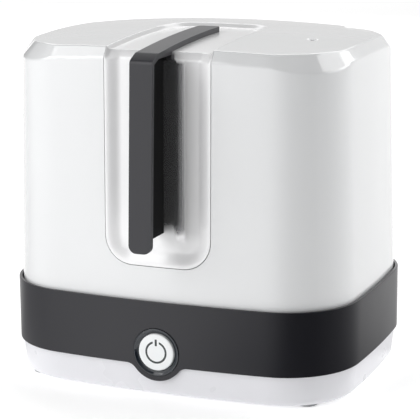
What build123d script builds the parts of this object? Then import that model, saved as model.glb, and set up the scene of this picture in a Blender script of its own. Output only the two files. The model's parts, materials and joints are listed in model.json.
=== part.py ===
from build123d import *
import math
import os

os.makedirs("parts", exist_ok=True)

# Baby bottle sterilizer. Millimetres, +Z up, front towards -Y.
# It is worked out round the body's own middle. Each piece is saved round the part's origin, which is
# on the floor under the middle of the whole part, handle included.

# Body form
height = 290.0             # floor to the crown of the hood
half_width = 153.5         # collar band, widest point of a side
half_depth = 117.0         # collar band, foremost point of the front
front_bow = 1000.0         # radius of the bowed front and back
side_bow = 950.0           # radius of the bowed sides
corner_radius = 64.0
crown_radius = 1450.0      # the hood's top is a shallow dome
draft = 1.48               # degrees that the hood's walls lean in
hood_bevel = 8.0           # bevel round the hood's top

# Collar band and base shell
foot_height = 1.2
band_bottom = 27.3
band_top = 81.0
band_wall = 2.6
band_gap = 0.4             # band to the shell's recess
pad_thickness = 3.6        # wall behind the bulge
shell_inset = 2.2          # lower shell stands this far inside the band's face
shell_taper = 5.7          # degrees by which its walls lean inwards towards the floor
shell_wall = 2.8
shell_bottom_round = 4.6
deck_level = 66.0          # underside of the upper deck
deck_thickness = 2.5
deck_gap = 0.6             # deck's edge to the band

# Hood and its handle panel
hood_wall = 2.4
hood_gap = 0.7             # hood to the band round it
hood_rest = 0.3            # hood's edge to the deck flange
seam_half_width = 46.5     # U-shaped seam of the handle panel
seam_bottom = 109.0
seam_corner = 24.0
seam_end = 41.0            # far end of the panel on the top
seam_end_corner = 24.0
seam_gap = 0.4
dish_depth = 5.0           # dish in the front leg of the panel
trough_depth = 3.5         # dish in the top leg of the panel
dish_slope_width = 12.2    # width of the dish's sloped walls on the front
slope_ahead = 3.0          # the slope's tool starts this far ahead of the hood
slope_behind = 9.0         # and ends this far behind its face
slope_least_corner = 3.0   # corner of the tool's smallest section
trough_slope = 0.577       # sideways run of the trough's walls for each unit of depth
trough_rim_drop = 1.5      # rim of the top dish, below the crown
trough_tool_rise = 5.0     # the top dish's tool, above the crown
trough_tool_depth = 18.0   # and below it
cutter_reach = 30.0        # cutting columns start this far outside the body
cutter_rise = 20.0         # and end this far above it
panel_cut_front = 37.0     # front column's depth behind the band's face
panel_cut_top = 28.0       # top column's depth below the crown
land = 1.3                 # flat rim between the seam and the dish
panel_wall = 2.8
panel_flange = 5.0         # lap behind the hood's wall
panel_flange_wall = 2.0
vent_x = 100.4
vent_y = -22.7
vent_radius = 2.8
vent_dimple_radius = 5.2
vent_dimple_depth = 0.8

# Handle grip
grip_width = 19.4
grip_wall = 4.2
grip_front = 145.5         # lower end of the plate's front face, ahead of the centre
grip_lean = 3.1            # degrees by which the front face leans back
grip_bottom = 128.0
grip_rise = 0.9            # its top stands this far above the crown
grip_end = 4.0
grip_bevel_back = 19.0
grip_bevel_drop = 5.0
grip_bevel_round = 4.0
grip_bottom_corner = 6.5
grip_end_corner = 4.0
web_width = 8.2
web_bottom = 136.7
grip_bend_front = 0.6      # inside of the bend, as shares of the plate's wall
grip_bend_top = 0.4
grip_screw_depth = 12.0    # thread in the web
grip_screw_low = 25.0      # lowest screw above the web's end
grip_screw_high = 40.0     # highest screw below the crown
screw_seat = 0.2           # under the screw's head, where the panel leans

# Power button
button_z = 38.7
button_radius = 15.5
button_gap = 0.4
button_travel = 1.2
button_chamfer = 0.6
button_face = 2.5
button_depth = 9.0
button_wall = 1.8
bezel_radius = 20.0
bezel_sleeve_wall = 1.6
bezel_depth = 10.0
bezel_gap = 0.2
bezel_edge = 0.6           # small chamfer round its face
bezel_proud = 0.5          # ahead of the band's face
bezel_dish = 1.8           # its inner edge, behind the band's face
button_proud = 0.2
bulge_radius = 24.4
bulge_blend = 10.0
symbol_radius = 8.6        # middle of the symbol's ring
symbol_stroke = 1.7
symbol_gap = 5.44          # opening of the ring at its top
symbol_bar = 1.87          # width of the bar in that opening
symbol_bar_low = 5.4
symbol_bar_high = 11.0
symbol_depth = 0.5
stem_radius = 4.0
stem_flange = 1.5
plunger_reserve = 0.4      # plunger's stand-out from the switch at full press

# Well, heater and its fixings
well_margin = 18.0         # well's edge to the pillars' centres
well_corner = 28.0
well_floor = 46.5          # upper face of the well's floor
well_wall = 2.5
plate_thickness = 1.5
seal_height = 1.5
seal_width = 5.0
clamp_thickness = 2.0
clamp_margin = 4.5         # screws to the clamp's edge
clamp_boss_gap = 0.5       # plate's edge to the screws' bosses
element_margin = 21.0      # plate's edge to the middle of the element
element_radius = 4.0
element_gap_angle = 60.0
element_flat = 0.4         # flat on the tube where it is brazed to the plate
pin_angle_setback = 8.0    # terminals behind the element's ends, in degrees
terminal_radius = 2.0
terminal_bottom = 24.0
thermostat_radius = 9.0
thermostat_height = 8.0
bracket_thickness = 0.8
bracket_width = 10.0
bracket_foot = 6.0
bracket_gap = 3.0          # thermostat to the bracket's legs
fuse_radius = 2.8
fuse_length = 15.0
fuse_gap = 3.0             # bracket's foot to the fuse
fuse_drop = 0.2            # fuse below the plate
lead_radius = 1.0
lead_level = 10.0
lead_spacing = 8.0
lead_straight = 15.0
lead_bend = 6.0
lead_sweep = 30.0

# Lip, pillars, feet and bottom cover
lip_gap = 0.7              # hood's inner face to the lip
lip_wall = 2.0
lip_height = 9.5
foot_radius = 9.0
foot_recess = 1.5
foot_gap = 0.3
foot_reach_x = 31.0        # from the corner's centre to the foot
foot_reach_y = 37.0
foot_boss_height = 4.0
pillar_radius = 6.0
pillar_top = 48.0
screw_radius = 1.5
screw_head_radius = 3.2
screw_head_height = 2.2
slot_length = 4.2
slot_width = 0.9
slot_depth = 0.8
cover_margin_x = 8.0       # pillar to the cover's edge
cover_margin_y = 5.0
cover_ledge = 12.0
cover_thickness = 2.0
cover_corner = 12.0
cover_gap = 0.4
ledge_thickness = 3.0
boss_radius = 4.0
boss_height = 11.0
pillar_seat = 8.0          # pillar's top to the seat of its screw
deck_screw_thread = 12.0
clamp_screw_thread = 4.5
foot_chamfer = 0.6
pad_setback = 0.8          # pad's face behind the recess for the band
screw_tip_gap = 1.0        # screw's tip to the bottom of its hole
cover_slot_pitch = 20.0
cover_slot_row = 32.0
cover_slot_length = 24.0
cover_slot_width = 3.0

# Electronics and inlet
board_width = 76.0
board_height = 42.0
board_thickness = 1.6
board_setback = 22.0       # board's front face behind the band's face
board_post_x = 32.0
board_post_z = 15.0
board_post_radius = 3.5
switch_size = 12.0
switch_height = 4.0
switch_corner = 1.0
switch_floor = 0.4
plunger_radius = 1.7
plunger_gap = 0.15
plunger_length = 3.4
led_radius = 1.5
led_length = 5.0
led_offset = 17.4
relay_width = 19.0
relay_depth = 15.0
relay_height = 15.5
relay_corner = 0.8
block_width = 32.0
block_depth = 15.0
block_height = 15.0
block_corner = 1.5
block_setback = 24.0       # block's middle to the band's face
gland_z = 16.0
gland_radius = 6.0
gland_flange_radius = 9.0
gland_bore_radius = 3.5
gland_flange_thickness = 2.0
gland_tail = 6.0
gland_boss = 2.5
gland_boss_wall = 1.5
gland_fit = 0.1            # gland's body to its bore
gland_seat_gap = 0.2       # gland's flange to its seat

# Basket, divider, posts and tray
basket_gap = 3.0           # lip's inner face to the basket
basket_wall = 2.2
basket_rise = 28.0
basket_floor_lift = 3.0    # floor above the basket's feet
basket_floor = 2.5
basket_foot_radius = 5.0
basket_foot_step = 4.0     # basket's foot inside the pillar's place
rest_gap = 0.3
cell_hole_radius = 15.0
cell_slot_circle = 27.5
cell_slot_length = 12.0
cell_slot_width = 5.0
cell_slots = 8
divider_wall = 2.0
divider_height = 46.0
divider_gap = 0.4
post_radius = 6.0
hub_wall = 2.2
hub_gap = 0.2
spigot_radius = 4.0
spigot_length = 10.0
tray_depth = 33.0
tray_headroom = 19.0       # tray's rim below the crown
tray_inset = 22.0          # tray's wall inside the band's face
tray_wall = 2.2
tray_floor = 2.5
tray_socket_wall = 2.4
tray_socket_gap = 0.3
tray_slot_length = 22.0
tray_slot_width = 4.0
tray_slot_pitch_x = 34.0
tray_slot_pitch_y = 26.0
peg_radius = 4.0
peg_height = 22.0
peg_taper = 4.0

# Levels and places that follow
deck_top = deck_level + deck_thickness
hood_bottom = deck_top + hood_rest
hood_inset = band_wall + hood_gap
recess_inset = band_wall + band_gap
lip_inset = hood_inset + hood_wall + lip_gap
basket_inset = lip_inset + lip_wall + basket_gap
shell_floor = foot_height + shell_wall
basket_foot_level = deck_top + rest_gap
basket_floor_bottom = basket_foot_level + basket_floor_lift
basket_floor_top = basket_floor_bottom + basket_floor
tray_top = height - tray_headroom
tray_bottom = tray_top - tray_depth
post_top = tray_bottom - rest_gap
well_under = well_floor - well_wall
block_y = half_depth - block_setback
plate_top = well_under - seal_height
plate_under = plate_top - plate_thickness
board_front = -half_depth + board_setback
board_back = board_front + board_thickness
lean = math.tan(math.radians(draft))
origin_shift = (grip_front - half_depth) / 2


def corner_centre():
    """Centre of the corner arc in the +X, -Y corner of the outline."""
    front_y = -half_depth + front_bow
    side_x = half_width - side_bow
    span = math.hypot(side_x, front_y)
    from_front = front_bow - corner_radius
    from_side = side_bow - corner_radius
    along = (from_front**2 - from_side**2 + span**2) / (2 * span)
    across = math.sqrt(from_front**2 - along**2)
    ux = side_x / span
    uy = -front_y / span
    return Vector(ux * along - uy * across, front_y + uy * along + ux * across)


def outline(inset):
    """Bowed rounded rectangle, a parallel curve inset from the band's face."""
    centre = corner_centre()
    front = Vector(0, -half_depth + front_bow)
    side = Vector(half_width - side_bow, 0)
    to_front = (centre - front).normalized() * (front_bow - inset)
    to_side = (centre - side).normalized() * (side_bow - inset)
    start = front + to_front
    end = side + to_side
    bisector = (to_front.normalized() + to_side.normalized()).normalized()
    middle = centre + bisector * (corner_radius - inset)
    with BuildSketch() as face:
        with BuildLine():
            for sx, sy in ((1, 1), (-1, 1), (-1, -1), (1, -1)):
                ThreePointArc(
                    (sx * start.X, sy * start.Y),
                    (sx * middle.X, sy * middle.Y),
                    (sx * end.X, sy * end.Y),
                )
            for s in (1, -1):
                ThreePointArc(
                    (-start.X, s * start.Y), (0, -s * (half_depth - inset)), (start.X, s * start.Y)
                )
                ThreePointArc(
                    (s * end.X, end.Y), (s * (half_width - inset), 0), (s * end.X, -end.Y)
                )
        make_face()
    return face.sketch


def hood_form(inset, drop):
    """Solid inside the hood: walls inset and top dropped from the outer form."""
    with BuildPart() as form:
        with BuildSketch(Plane.XY.offset(hood_bottom)):
            add(outline(hood_inset + inset))
        extrude(amount=height - hood_bottom + hood_bevel, taper=draft)
        with Locations((0, 0, height - crown_radius)):
            Sphere(crown_radius - drop, rotation=(90, 0, 0), mode=Mode.INTERSECT)
        chamfer(form.faces().sort_by(Axis.Z)[-1].edges(), hood_bevel)
    return form.part


def u_shape(half, bottom, corner, top):
    """Flat shape with a straight top and two rounded lower corners."""
    with BuildSketch() as face:
        with BuildLine():
            FilletPolyline(
                (half, top), (half, bottom), (-half, bottom), (-half, top), radius=corner
            )
            Line((-half, top), (half, top))
        make_face()
    return face.sketch


def panel_region(grow):
    """L-shaped column round the handle panel, its edge grown from the seam."""
    half = seam_half_width + grow
    ahead = half_depth + cutter_reach
    with BuildPart() as region:
        with BuildSketch(Plane.XZ.offset(ahead)):
            add(u_shape(half, seam_bottom - grow, seam_corner + grow, height + cutter_rise))
        extrude(amount=-(cutter_reach + panel_cut_front))
        with BuildSketch(Plane.XY.offset(height - panel_cut_top)):
            end = u_shape(half, -seam_end - grow, seam_end_corner + grow, ahead)
            add(mirror(end, about=Plane.XZ))
        extrude(amount=panel_cut_top + cutter_rise)
    return region.part


def dish_tool():
    """Everything ahead of and above the dish's sloped walls."""
    slope = dish_slope_width / dish_depth
    seam_y = -half_depth + hood_inset + lean * (seam_bottom - hood_bottom)
    leaning = Plane(
        origin=(0, seam_y, seam_bottom),
        x_dir=(1, 0, 0),
        z_dir=(0, -math.cos(math.radians(draft)), math.sin(math.radians(draft))),
    )
    with BuildPart() as tool:
        for depth in (-slope_ahead, slope_behind):
            shift = depth * slope + land
            rounding = max(seam_corner - shift, slope_least_corner)
            with BuildSketch(leaning.offset(-depth)):
                add(u_shape(seam_half_width - shift, shift, rounding, height - seam_bottom + cutter_rise))
        loft(ruled=True)
        for level in (height - trough_tool_depth, height + trough_tool_rise):
            shift = (height - trough_rim_drop - level) * trough_slope + land
            half = seam_half_width - shift
            with BuildSketch(Plane.XY.offset(level)):
                end = u_shape(half, shift - seam_end, seam_end_corner - shift, half_depth + cutter_reach)
                add(mirror(end, about=Plane.XZ))
        loft(ruled=True)
    return tool.part


def crown_at(y):
    """Height of the hood's top on its centre line, at a distance y."""
    return height - crown_radius + math.sqrt(crown_radius**2 - y**2)


def at_y(y):
    """Upright plane at a distance y, its normal towards the front."""
    return Plane.XZ.offset(-y)


def facing_down(level):
    """Level plane whose normal points to the floor."""
    return Plane(origin=(0, 0, level), z_dir=(0, 0, -1))


def cross_slot():
    """Cross recess of a screw's head."""
    with BuildSketch() as slot:
        Rectangle(slot_length, slot_width)
        Rectangle(slot_width, slot_length)
    return slot.sketch


def discs(plane, places, radius, amount, mode=Mode.ADD):
    """Round columns raised from a plane, or sunk where the amount is negative."""
    with BuildSketch(plane) as face:
        with Locations(*places):
            Circle(radius)
    extrude(face.sketch, amount=amount, mode=mode)


def screws(seat, places, length):
    """Screws with their heads behind the plane of the seat and threads ahead of it."""
    with BuildPart() as group:
        with BuildSketch(seat):
            with Locations(*places):
                Circle(screw_head_radius)
        extrude(amount=-screw_head_height)
        with BuildSketch(seat):
            with Locations(*places):
                Circle(screw_radius)
        extrude(amount=length)
        with BuildSketch(seat.offset(-screw_head_height)):
            with Locations(*places):
                add(cross_slot())
        extrude(amount=slot_depth, mode=Mode.SUBTRACT)
    return group


def bulge_column(grow):
    """Column towards the front, in the shape of the band's bulge and the band above it."""
    edge = band_bottom - grow
    with BuildPart() as column:
        with BuildSketch(at_y(-half_depth / 2)) as face:
            with Locations((0, button_z)):
                Circle(bulge_radius + grow)
            with Locations((0, edge)):
                Rectangle(4 * bulge_radius, bulge_radius, align=(Align.CENTER, Align.MIN))
            shoulders = [
                v for v in face.vertices() if abs(v.Y - edge) < 0.01 and abs(v.X) < 1.5 * bulge_radius
            ]
            fillet(shoulders, bulge_blend)
        extrude(amount=half_depth)
    return column.part


def save(piece, name):
    """Label a piece, move it to the part's origin and write it as its own file."""
    placed = piece.part.moved(Location((0, origin_shift, 0)))
    placed.label = name
    export_step(placed, f"parts/{name}.step")


# Places that follow the corner's centre
corner = corner_centre()
foot_x = corner.X + foot_reach_x
foot_y = -corner.Y + foot_reach_y
foot_places = [(sx * foot_x, sy * foot_y) for sx in (-1, 1) for sy in (-1, 1)]
basket_foot_x = foot_x - basket_foot_step
basket_foot_y = foot_y - basket_foot_step
well_half_x = foot_x - well_margin
well_half_y = foot_y - pillar_radius - well_margin
plate_radius = well_half_y + well_wall / 2
clamp_screw_circle = plate_radius + clamp_boss_gap + boss_radius
clamp_radius = clamp_screw_circle + clamp_margin
clamp_diagonal = clamp_screw_circle * math.sqrt(0.5)
clamp_places = [(sx * clamp_diagonal, sy * clamp_diagonal) for sx in (-1, 1) for sy in (-1, 1)]
element_circle = plate_radius - element_margin
cover_half_x = foot_x - pillar_radius - cover_margin_x
cover_half_y = foot_y - pillar_radius - cover_margin_y
cell_x = 2 * (half_width - basket_inset - basket_wall) / 3
cell_y = half_depth - basket_inset - basket_wall
post_places = [(-cell_x / 2, 0), (cell_x / 2, 0)]
cells = [(i * cell_x, j * cell_y / 2) for i in (-1, 0, 1) for j in (-1, 1)]

# Hood forms shared by the shell, the panel and the grip
hood_outer = hood_form(0, 0)
hood_inner = hood_form(hood_wall, hood_wall)
dish_floor = hood_form(dish_depth, trough_depth)
panel_back = hood_form(dish_depth + panel_wall, trough_depth + panel_wall)
flange_back = hood_form(hood_wall + panel_flange_wall, hood_wall + panel_flange_wall)

# Hood shell with the panel's window and the steam vent
vent_top = height - crown_radius + math.sqrt(crown_radius**2 - vent_x**2 - vent_y**2)
with BuildPart() as hood_shell:
    add(hood_outer)
    add(hood_inner, mode=Mode.SUBTRACT)
    add(panel_region(0), mode=Mode.SUBTRACT)
    discs(
        Plane.XY.offset(vent_top - 4 * hood_wall),
        [(vent_x, vent_y)],
        vent_radius,
        5 * hood_wall,
        Mode.SUBTRACT,
    )
    discs(
        Plane.XY.offset(vent_top - vent_dimple_depth),
        [(vent_x, vent_y)],
        vent_dimple_radius,
        hood_wall,
        Mode.SUBTRACT,
    )
save(hood_shell, "hood_shell")

# Handle panel: a dished wall that closes the window, with a flange behind it
grip_screw_levels = [web_bottom + grip_screw_low, (web_bottom + height) / 2, height - grip_screw_high]
with BuildPart() as dish:
    add(dish_tool())
    add(dish_floor, mode=Mode.SUBTRACT)
with BuildPart() as flange:
    add(hood_inner)
    add(flange_back, mode=Mode.SUBTRACT)
    add(panel_region(panel_flange), mode=Mode.INTERSECT)
with BuildPart() as handle_panel:
    add(hood_outer)
    add(panel_region(-seam_gap), mode=Mode.INTERSECT)
    add(panel_back, mode=Mode.SUBTRACT)
    add(flange.part)
    add(dish.part, mode=Mode.SUBTRACT)
    discs(Plane.XZ, [(0, z) for z in grip_screw_levels], screw_radius, half_depth, Mode.SUBTRACT)
save(handle_panel, "handle_panel")

# Handle screws, from inside the hood through the panel into the web
with BuildPart() as handle_screws:
    for z in grip_screw_levels:
        seat_y = -half_depth + hood_inset + dish_depth + panel_wall + lean * (z - hood_bottom)
        seat = at_y(seat_y + screw_seat)
        add(screws(seat, [(0, z)], panel_wall + screw_seat + grip_screw_depth).part)
save(handle_screws, "handle_screws")

# Handle grip: one plate up the front and over the top, on a narrower web
grip_slope = math.tan(math.radians(grip_lean))
shoulder_y = -grip_front + grip_bevel_back
shoulder_z = crown_at(shoulder_y) + grip_rise
bevel_z = shoulder_z - grip_bevel_drop
bend_z = bevel_z - grip_bend_front * grip_wall
grip_back = grip_front - grip_wall
bend_y = -grip_back + grip_slope * (bend_z - grip_bottom)
front_top_y = -grip_front + grip_slope * (bevel_z - grip_bottom)
web_root_y = -grip_back - grip_wall / 2
web_top_y = web_root_y + grip_slope * (bevel_z - grip_bottom)
top_middle_y = (shoulder_y + grip_end) / 2
with BuildPart() as handle_grip:
    with BuildSketch(Plane.YZ):
        with BuildLine():
            Polyline(
                (shoulder_y, shoulder_z),
                (front_top_y, bevel_z),
                (-grip_front, grip_bottom),
                (-grip_back, grip_bottom),
                (bend_y, bend_z),
                (shoulder_y + grip_bend_top * grip_wall, shoulder_z - grip_wall),
                (grip_end, shoulder_z - grip_wall),
                (grip_end, crown_at(grip_end) + grip_rise),
            )
            ThreePointArc(
                (grip_end, crown_at(grip_end) + grip_rise),
                (top_middle_y, crown_at(top_middle_y) + grip_rise),
                (shoulder_y, shoulder_z),
            )
        make_face()
    extrude(amount=grip_width / 2, both=True)
    across = handle_grip.edges().filter_by(Axis.X)
    fillet(across.sort_by_distance((0, front_top_y, bevel_z))[0], grip_bevel_round)
    fillet(handle_grip.edges().filter_by(Axis.Y).group_by(Axis.Z)[0], grip_bottom_corner)
    fillet(handle_grip.edges().filter_by(Axis.Z).group_by(Axis.Y)[-1], grip_end_corner)
    with BuildSketch(Plane.YZ):
        with BuildLine():
            Polyline(
                (web_root_y, web_bottom),
                (-half_depth / 2, web_bottom),
                (-half_depth / 2, shoulder_z - grip_wall),
                (shoulder_y, shoulder_z - grip_bend_front * grip_wall),
                (web_top_y, bevel_z - grip_bend_front * grip_wall / 2),
                close=True,
            )
        make_face()
    extrude(amount=web_width / 2, both=True)
    add(dish_floor, mode=Mode.SUBTRACT)
    add(handle_screws.part, mode=Mode.SUBTRACT)
save(handle_grip, "handle_grip")

# Collar band with the bulge round the button
with BuildPart() as tongue:
    with BuildSketch(Plane.XY):
        add(outline(0))
        add(outline(band_wall), mode=Mode.SUBTRACT)
    extrude(amount=band_bottom + bulge_blend)
    add(bulge_column(0), mode=Mode.INTERSECT)
with BuildPart() as collar_band:
    with BuildSketch(Plane.XY.offset(band_bottom)):
        add(outline(0))
        add(outline(band_wall), mode=Mode.SUBTRACT)
    extrude(amount=band_top - band_bottom)
    add(tongue.part)
    discs(
        at_y(-half_depth / 2),
        [(0, button_z)],
        bezel_radius + bezel_gap,
        half_depth,
        Mode.SUBTRACT,
    )
save(collar_band, "collar_band")

# Base shell: a tub with a recess for the band, a pad behind the button and pillars
pad_face = -half_depth + recess_inset + pad_setback
inner_inset = recess_inset + shell_wall
shell_shoulder = band_bottom - shell_wall
shell_slope = math.tan(math.radians(shell_taper))
gland_face = half_depth - shell_inset - shell_slope * (band_bottom - gland_z)
post_root = -half_depth + recess_inset + shell_wall / 3
sleeve_radius = button_radius + button_gap + bezel_sleeve_wall
board_posts = [
    (sx * board_post_x, button_z + sz * board_post_z) for sx in (-1, 1) for sz in (-1, 1)
]
cover_screw_places = [
    (x * (cover_half_x - cover_ledge / 2), s * (cover_half_y - cover_ledge / 2))
    for x in (-1, 0, 1)
    for s in (-1, 1)
]
with BuildPart() as bulge_recess:
    add(bulge_column(foot_gap))
    with BuildSketch(Plane.XY):
        add(outline(recess_inset))
    extrude(amount=band_top, mode=Mode.SUBTRACT)
with BuildPart() as shell_form:
    with BuildSketch(facing_down(band_bottom)):
        add(outline(shell_inset))
    extrude(amount=band_bottom - foot_height, taper=shell_taper)
    fillet(shell_form.edges().group_by(Axis.Z)[0], shell_bottom_round)
    with BuildSketch(Plane.XY.offset(band_bottom)):
        add(outline(recess_inset))
    extrude(amount=deck_level - band_bottom)
with BuildPart() as base_shell:
    add(shell_form.part)
    with BuildSketch(facing_down(shell_shoulder)):
        add(outline(shell_inset + shell_wall))
    extrude(amount=shell_shoulder - shell_floor, taper=shell_taper, mode=Mode.SUBTRACT)
    with BuildSketch(Plane.XY.offset(shell_shoulder)):
        add(outline(inner_inset))
    extrude(amount=deck_level - shell_shoulder, mode=Mode.SUBTRACT)
    # Ledge for the bottom cover
    with BuildSketch(Plane.XY.offset(shell_floor)):
        RectangleRounded(
            2 * (cover_half_x + shell_wall), 2 * (cover_half_y + shell_wall), cover_corner + shell_wall
        )
    extrude(amount=cover_thickness + ledge_thickness - shell_wall)
    with BuildSketch(Plane.XY.offset(foot_height)):
        RectangleRounded(2 * cover_half_x, 2 * cover_half_y, cover_corner)
    extrude(amount=cover_thickness, mode=Mode.SUBTRACT)
    with BuildSketch(Plane.XY.offset(foot_height)):
        RectangleRounded(
            2 * (cover_half_x - cover_ledge), 2 * (cover_half_y - cover_ledge), cover_corner / 2
        )
    extrude(amount=shell_floor + ledge_thickness, mode=Mode.SUBTRACT)
    cover_seat = Plane.XY.offset(foot_height + cover_thickness)
    discs(cover_seat, cover_screw_places, boss_radius, boss_height)
    discs(cover_seat, cover_screw_places, screw_radius, boss_height, Mode.SUBTRACT)
    # Pillars that carry the upper deck, with the feet and the deck screws below
    foot_seat = Plane.XY.offset(foot_height + foot_recess)
    discs(foot_seat, foot_places, foot_radius + shell_wall, foot_boss_height)
    discs(
        foot_seat,
        foot_places,
        pillar_radius,
        pillar_top - foot_height - foot_recess,
    )
    discs(Plane.XY, foot_places, foot_radius + foot_gap, foot_height + foot_recess, Mode.SUBTRACT)
    discs(
        Plane.XY, foot_places, screw_head_radius + screw_seat, pillar_top - pillar_seat, Mode.SUBTRACT
    )
    discs(Plane.XY, foot_places, screw_radius, pillar_top + shell_wall, Mode.SUBTRACT)
    # Pad, bores and posts behind the power button
    with BuildSketch(at_y(pad_face)):
        with Locations((0, shell_floor)):
            Rectangle(
                2 * (bulge_radius + bulge_blend),
                deck_level - shell_floor,
                align=(Align.CENTER, Align.MIN),
            )
    extrude(amount=-pad_thickness)
    discs(at_y(post_root), board_posts, board_post_radius, -(board_front - post_root))
    add(shell_form.part, mode=Mode.INTERSECT)
    add(bulge_recess.part, mode=Mode.SUBTRACT)
    discs(
        at_y(-half_depth / 2),
        [(0, button_z)],
        sleeve_radius + screw_seat,
        half_depth,
        Mode.SUBTRACT,
    )
    discs(
        at_y(board_front - board_post_radius * 3),
        board_posts,
        screw_radius,
        -board_post_radius * 4,
        Mode.SUBTRACT,
    )
    # Boss and bore for the cord gland in the back
    discs(
        at_y(gland_face - shell_wall - gland_boss),
        [(0, gland_z)],
        gland_flange_radius + gland_boss_wall,
        -gland_boss - shell_wall / 2,
    )
    discs(at_y(0), [(0, gland_z)], gland_radius + gland_fit, -half_depth, Mode.SUBTRACT)
    discs(
        at_y(gland_face - gland_flange_thickness),
        [(0, gland_z)],
        gland_flange_radius + gland_seat_gap,
        -shell_wall * 2,
        Mode.SUBTRACT,
    )
save(base_shell, "base_shell")

# Bezel: a dished ring round the button, with a sleeve that guides it
bore_radius = button_radius + button_gap
bezel_seat = -half_depth + recess_inset
with BuildPart() as button_bezel:
    with BuildSketch(Plane.YZ):
        with BuildLine():
            Polyline(
                (bezel_seat, button_z + bezel_radius),
                (-half_depth - bezel_proud + bezel_edge, button_z + bezel_radius),
                (-half_depth - bezel_proud, button_z + bezel_radius - bezel_edge),
                (-half_depth - bezel_proud, button_z + bezel_radius - 2 * bezel_edge),
                (-half_depth + bezel_dish, button_z + bore_radius),
                (bezel_seat + bezel_depth, button_z + bore_radius),
                (bezel_seat + bezel_depth, button_z + sleeve_radius),
                (bezel_seat, button_z + sleeve_radius),
                close=True,
            )
        make_face()
    revolve(axis=Axis((0, 0, button_z), (0, 1, 0)))
save(button_bezel, "button_bezel")

# Button: cap with its laid-in symbol, and the stem to the switch
face_y = -half_depth - button_proud
cap_back = face_y + button_face
switch_front = board_front - switch_height
plunger_front = switch_front - button_travel - plunger_reserve
with BuildPart() as button_symbol:
    with BuildSketch(at_y(face_y)):
        with Locations((0, button_z)):
            Circle(symbol_radius + symbol_stroke / 2)
            Circle(symbol_radius - symbol_stroke / 2, mode=Mode.SUBTRACT)
        with Locations((0, button_z + symbol_bar_low)):
            Rectangle(
                symbol_gap,
                symbol_bar_high - symbol_bar_low,
                align=(Align.CENTER, Align.MIN),
                mode=Mode.SUBTRACT,
            )
            Rectangle(
                symbol_bar,
                symbol_bar_high - symbol_bar_low,
                align=(Align.CENTER, Align.MIN),
            )
    extrude(amount=-symbol_depth)
save(button_symbol, "button_symbol")

with BuildPart() as button_cap:
    discs(at_y(face_y), [(0, button_z)], button_radius, -button_depth)
    chamfer(button_cap.edges().group_by(Axis.Y)[0], button_chamfer)
    discs(
        at_y(cap_back),
        [(0, button_z)],
        button_radius - button_wall,
        -(button_depth - button_face),
        Mode.SUBTRACT,
    )
    add(button_symbol.part, mode=Mode.SUBTRACT)
save(button_cap, "button_cap")

with BuildPart() as button_stem:
    discs(at_y(cap_back), [(0, button_z)], stem_radius, -(plunger_front - cap_back))
    discs(at_y(cap_back), [(0, button_z)], stem_radius * 2, -stem_flange)
save(button_stem, "button_stem")

with BuildPart() as switch_plunger:
    discs(at_y(plunger_front), [(0, button_z)], plunger_radius, -plunger_length)
save(switch_plunger, "switch_plunger")

# Control board with its switch, lamps, relay and screws
with BuildPart() as control_board:
    with BuildSketch(at_y(board_front)):
        with Locations((0, button_z)):
            Rectangle(board_width, board_height)
        with Locations(*board_posts):
            Circle(screw_radius, mode=Mode.SUBTRACT)
    extrude(amount=-board_thickness)
save(control_board, "control_board")

with BuildPart() as tact_switch:
    with BuildSketch(at_y(switch_front)):
        with Locations((0, button_z)):
            RectangleRounded(switch_size, switch_size, switch_corner)
    extrude(amount=-switch_height)
    discs(
        at_y(switch_front),
        [(0, button_z)],
        plunger_radius + plunger_gap,
        -(switch_height - switch_floor),
        Mode.SUBTRACT,
    )
save(tact_switch, "tact_switch")

with BuildPart() as status_leds:
    led_places = [(-led_offset, button_z), (led_offset, button_z)]
    discs(at_y(board_front), led_places, led_radius, led_length - led_radius)
    for place in led_places:
        with Locations((place[0], board_front - led_length + led_radius, place[1])):
            Sphere(led_radius)
save(status_leds, "status_leds")

with BuildPart() as relay:
    with BuildSketch(at_y(board_back)):
        with Locations((board_width / 4, button_z)):
            RectangleRounded(relay_width, relay_height, relay_corner)
    extrude(amount=-relay_depth)
save(relay, "relay")

board_screws = screws(at_y(board_back), board_posts, board_thickness + board_post_radius * 2)
save(board_screws, "board_screws")

# Upper deck: flange, lip, well and the bosses under it
with BuildPart() as upper_deck:
    with BuildSketch(Plane.XY.offset(deck_level)):
        add(outline(band_wall + deck_gap))
    extrude(amount=deck_thickness)
    with BuildSketch(Plane.XY.offset(deck_top)):
        add(outline(lip_inset))
        add(outline(lip_inset + lip_wall), mode=Mode.SUBTRACT)
    extrude(amount=lip_height)
    with BuildSketch(Plane.XY.offset(well_under)):
        RectangleRounded(
            2 * (well_half_x + well_wall), 2 * (well_half_y + well_wall), well_corner + well_wall
        )
    extrude(amount=deck_level - well_under)
    with BuildSketch(Plane.XY.offset(well_floor)):
        RectangleRounded(2 * well_half_x, 2 * well_half_y, well_corner)
    extrude(amount=deck_top - well_floor, mode=Mode.SUBTRACT)
    discs(Plane.XY.offset(pillar_top), foot_places, pillar_radius, deck_level - pillar_top)
    discs(
        Plane.XY.offset(pillar_top), foot_places, screw_radius, deck_screw_thread, Mode.SUBTRACT
    )
    discs(Plane.XY.offset(plate_under), clamp_places, boss_radius, well_under - plate_under)
    discs(
        Plane.XY.offset(plate_under), clamp_places, screw_radius, clamp_screw_thread, Mode.SUBTRACT
    )
    discs(
        Plane.XY.offset(well_under), [(0, 0)], plate_radius - seal_width, well_wall, Mode.SUBTRACT
    )
save(upper_deck, "upper_deck")

# Heater under the well: plate, seal, clamp, element and its cut-outs
with BuildPart() as heater_plate:
    discs(Plane.XY.offset(plate_under), [(0, 0)], plate_radius, plate_thickness)
save(heater_plate, "heater_plate")

with BuildPart() as plate_seal:
    with BuildSketch(Plane.XY.offset(plate_top)):
        Circle(plate_radius)
        Circle(plate_radius - seal_width, mode=Mode.SUBTRACT)
    extrude(amount=seal_height)
save(plate_seal, "plate_seal")

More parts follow.
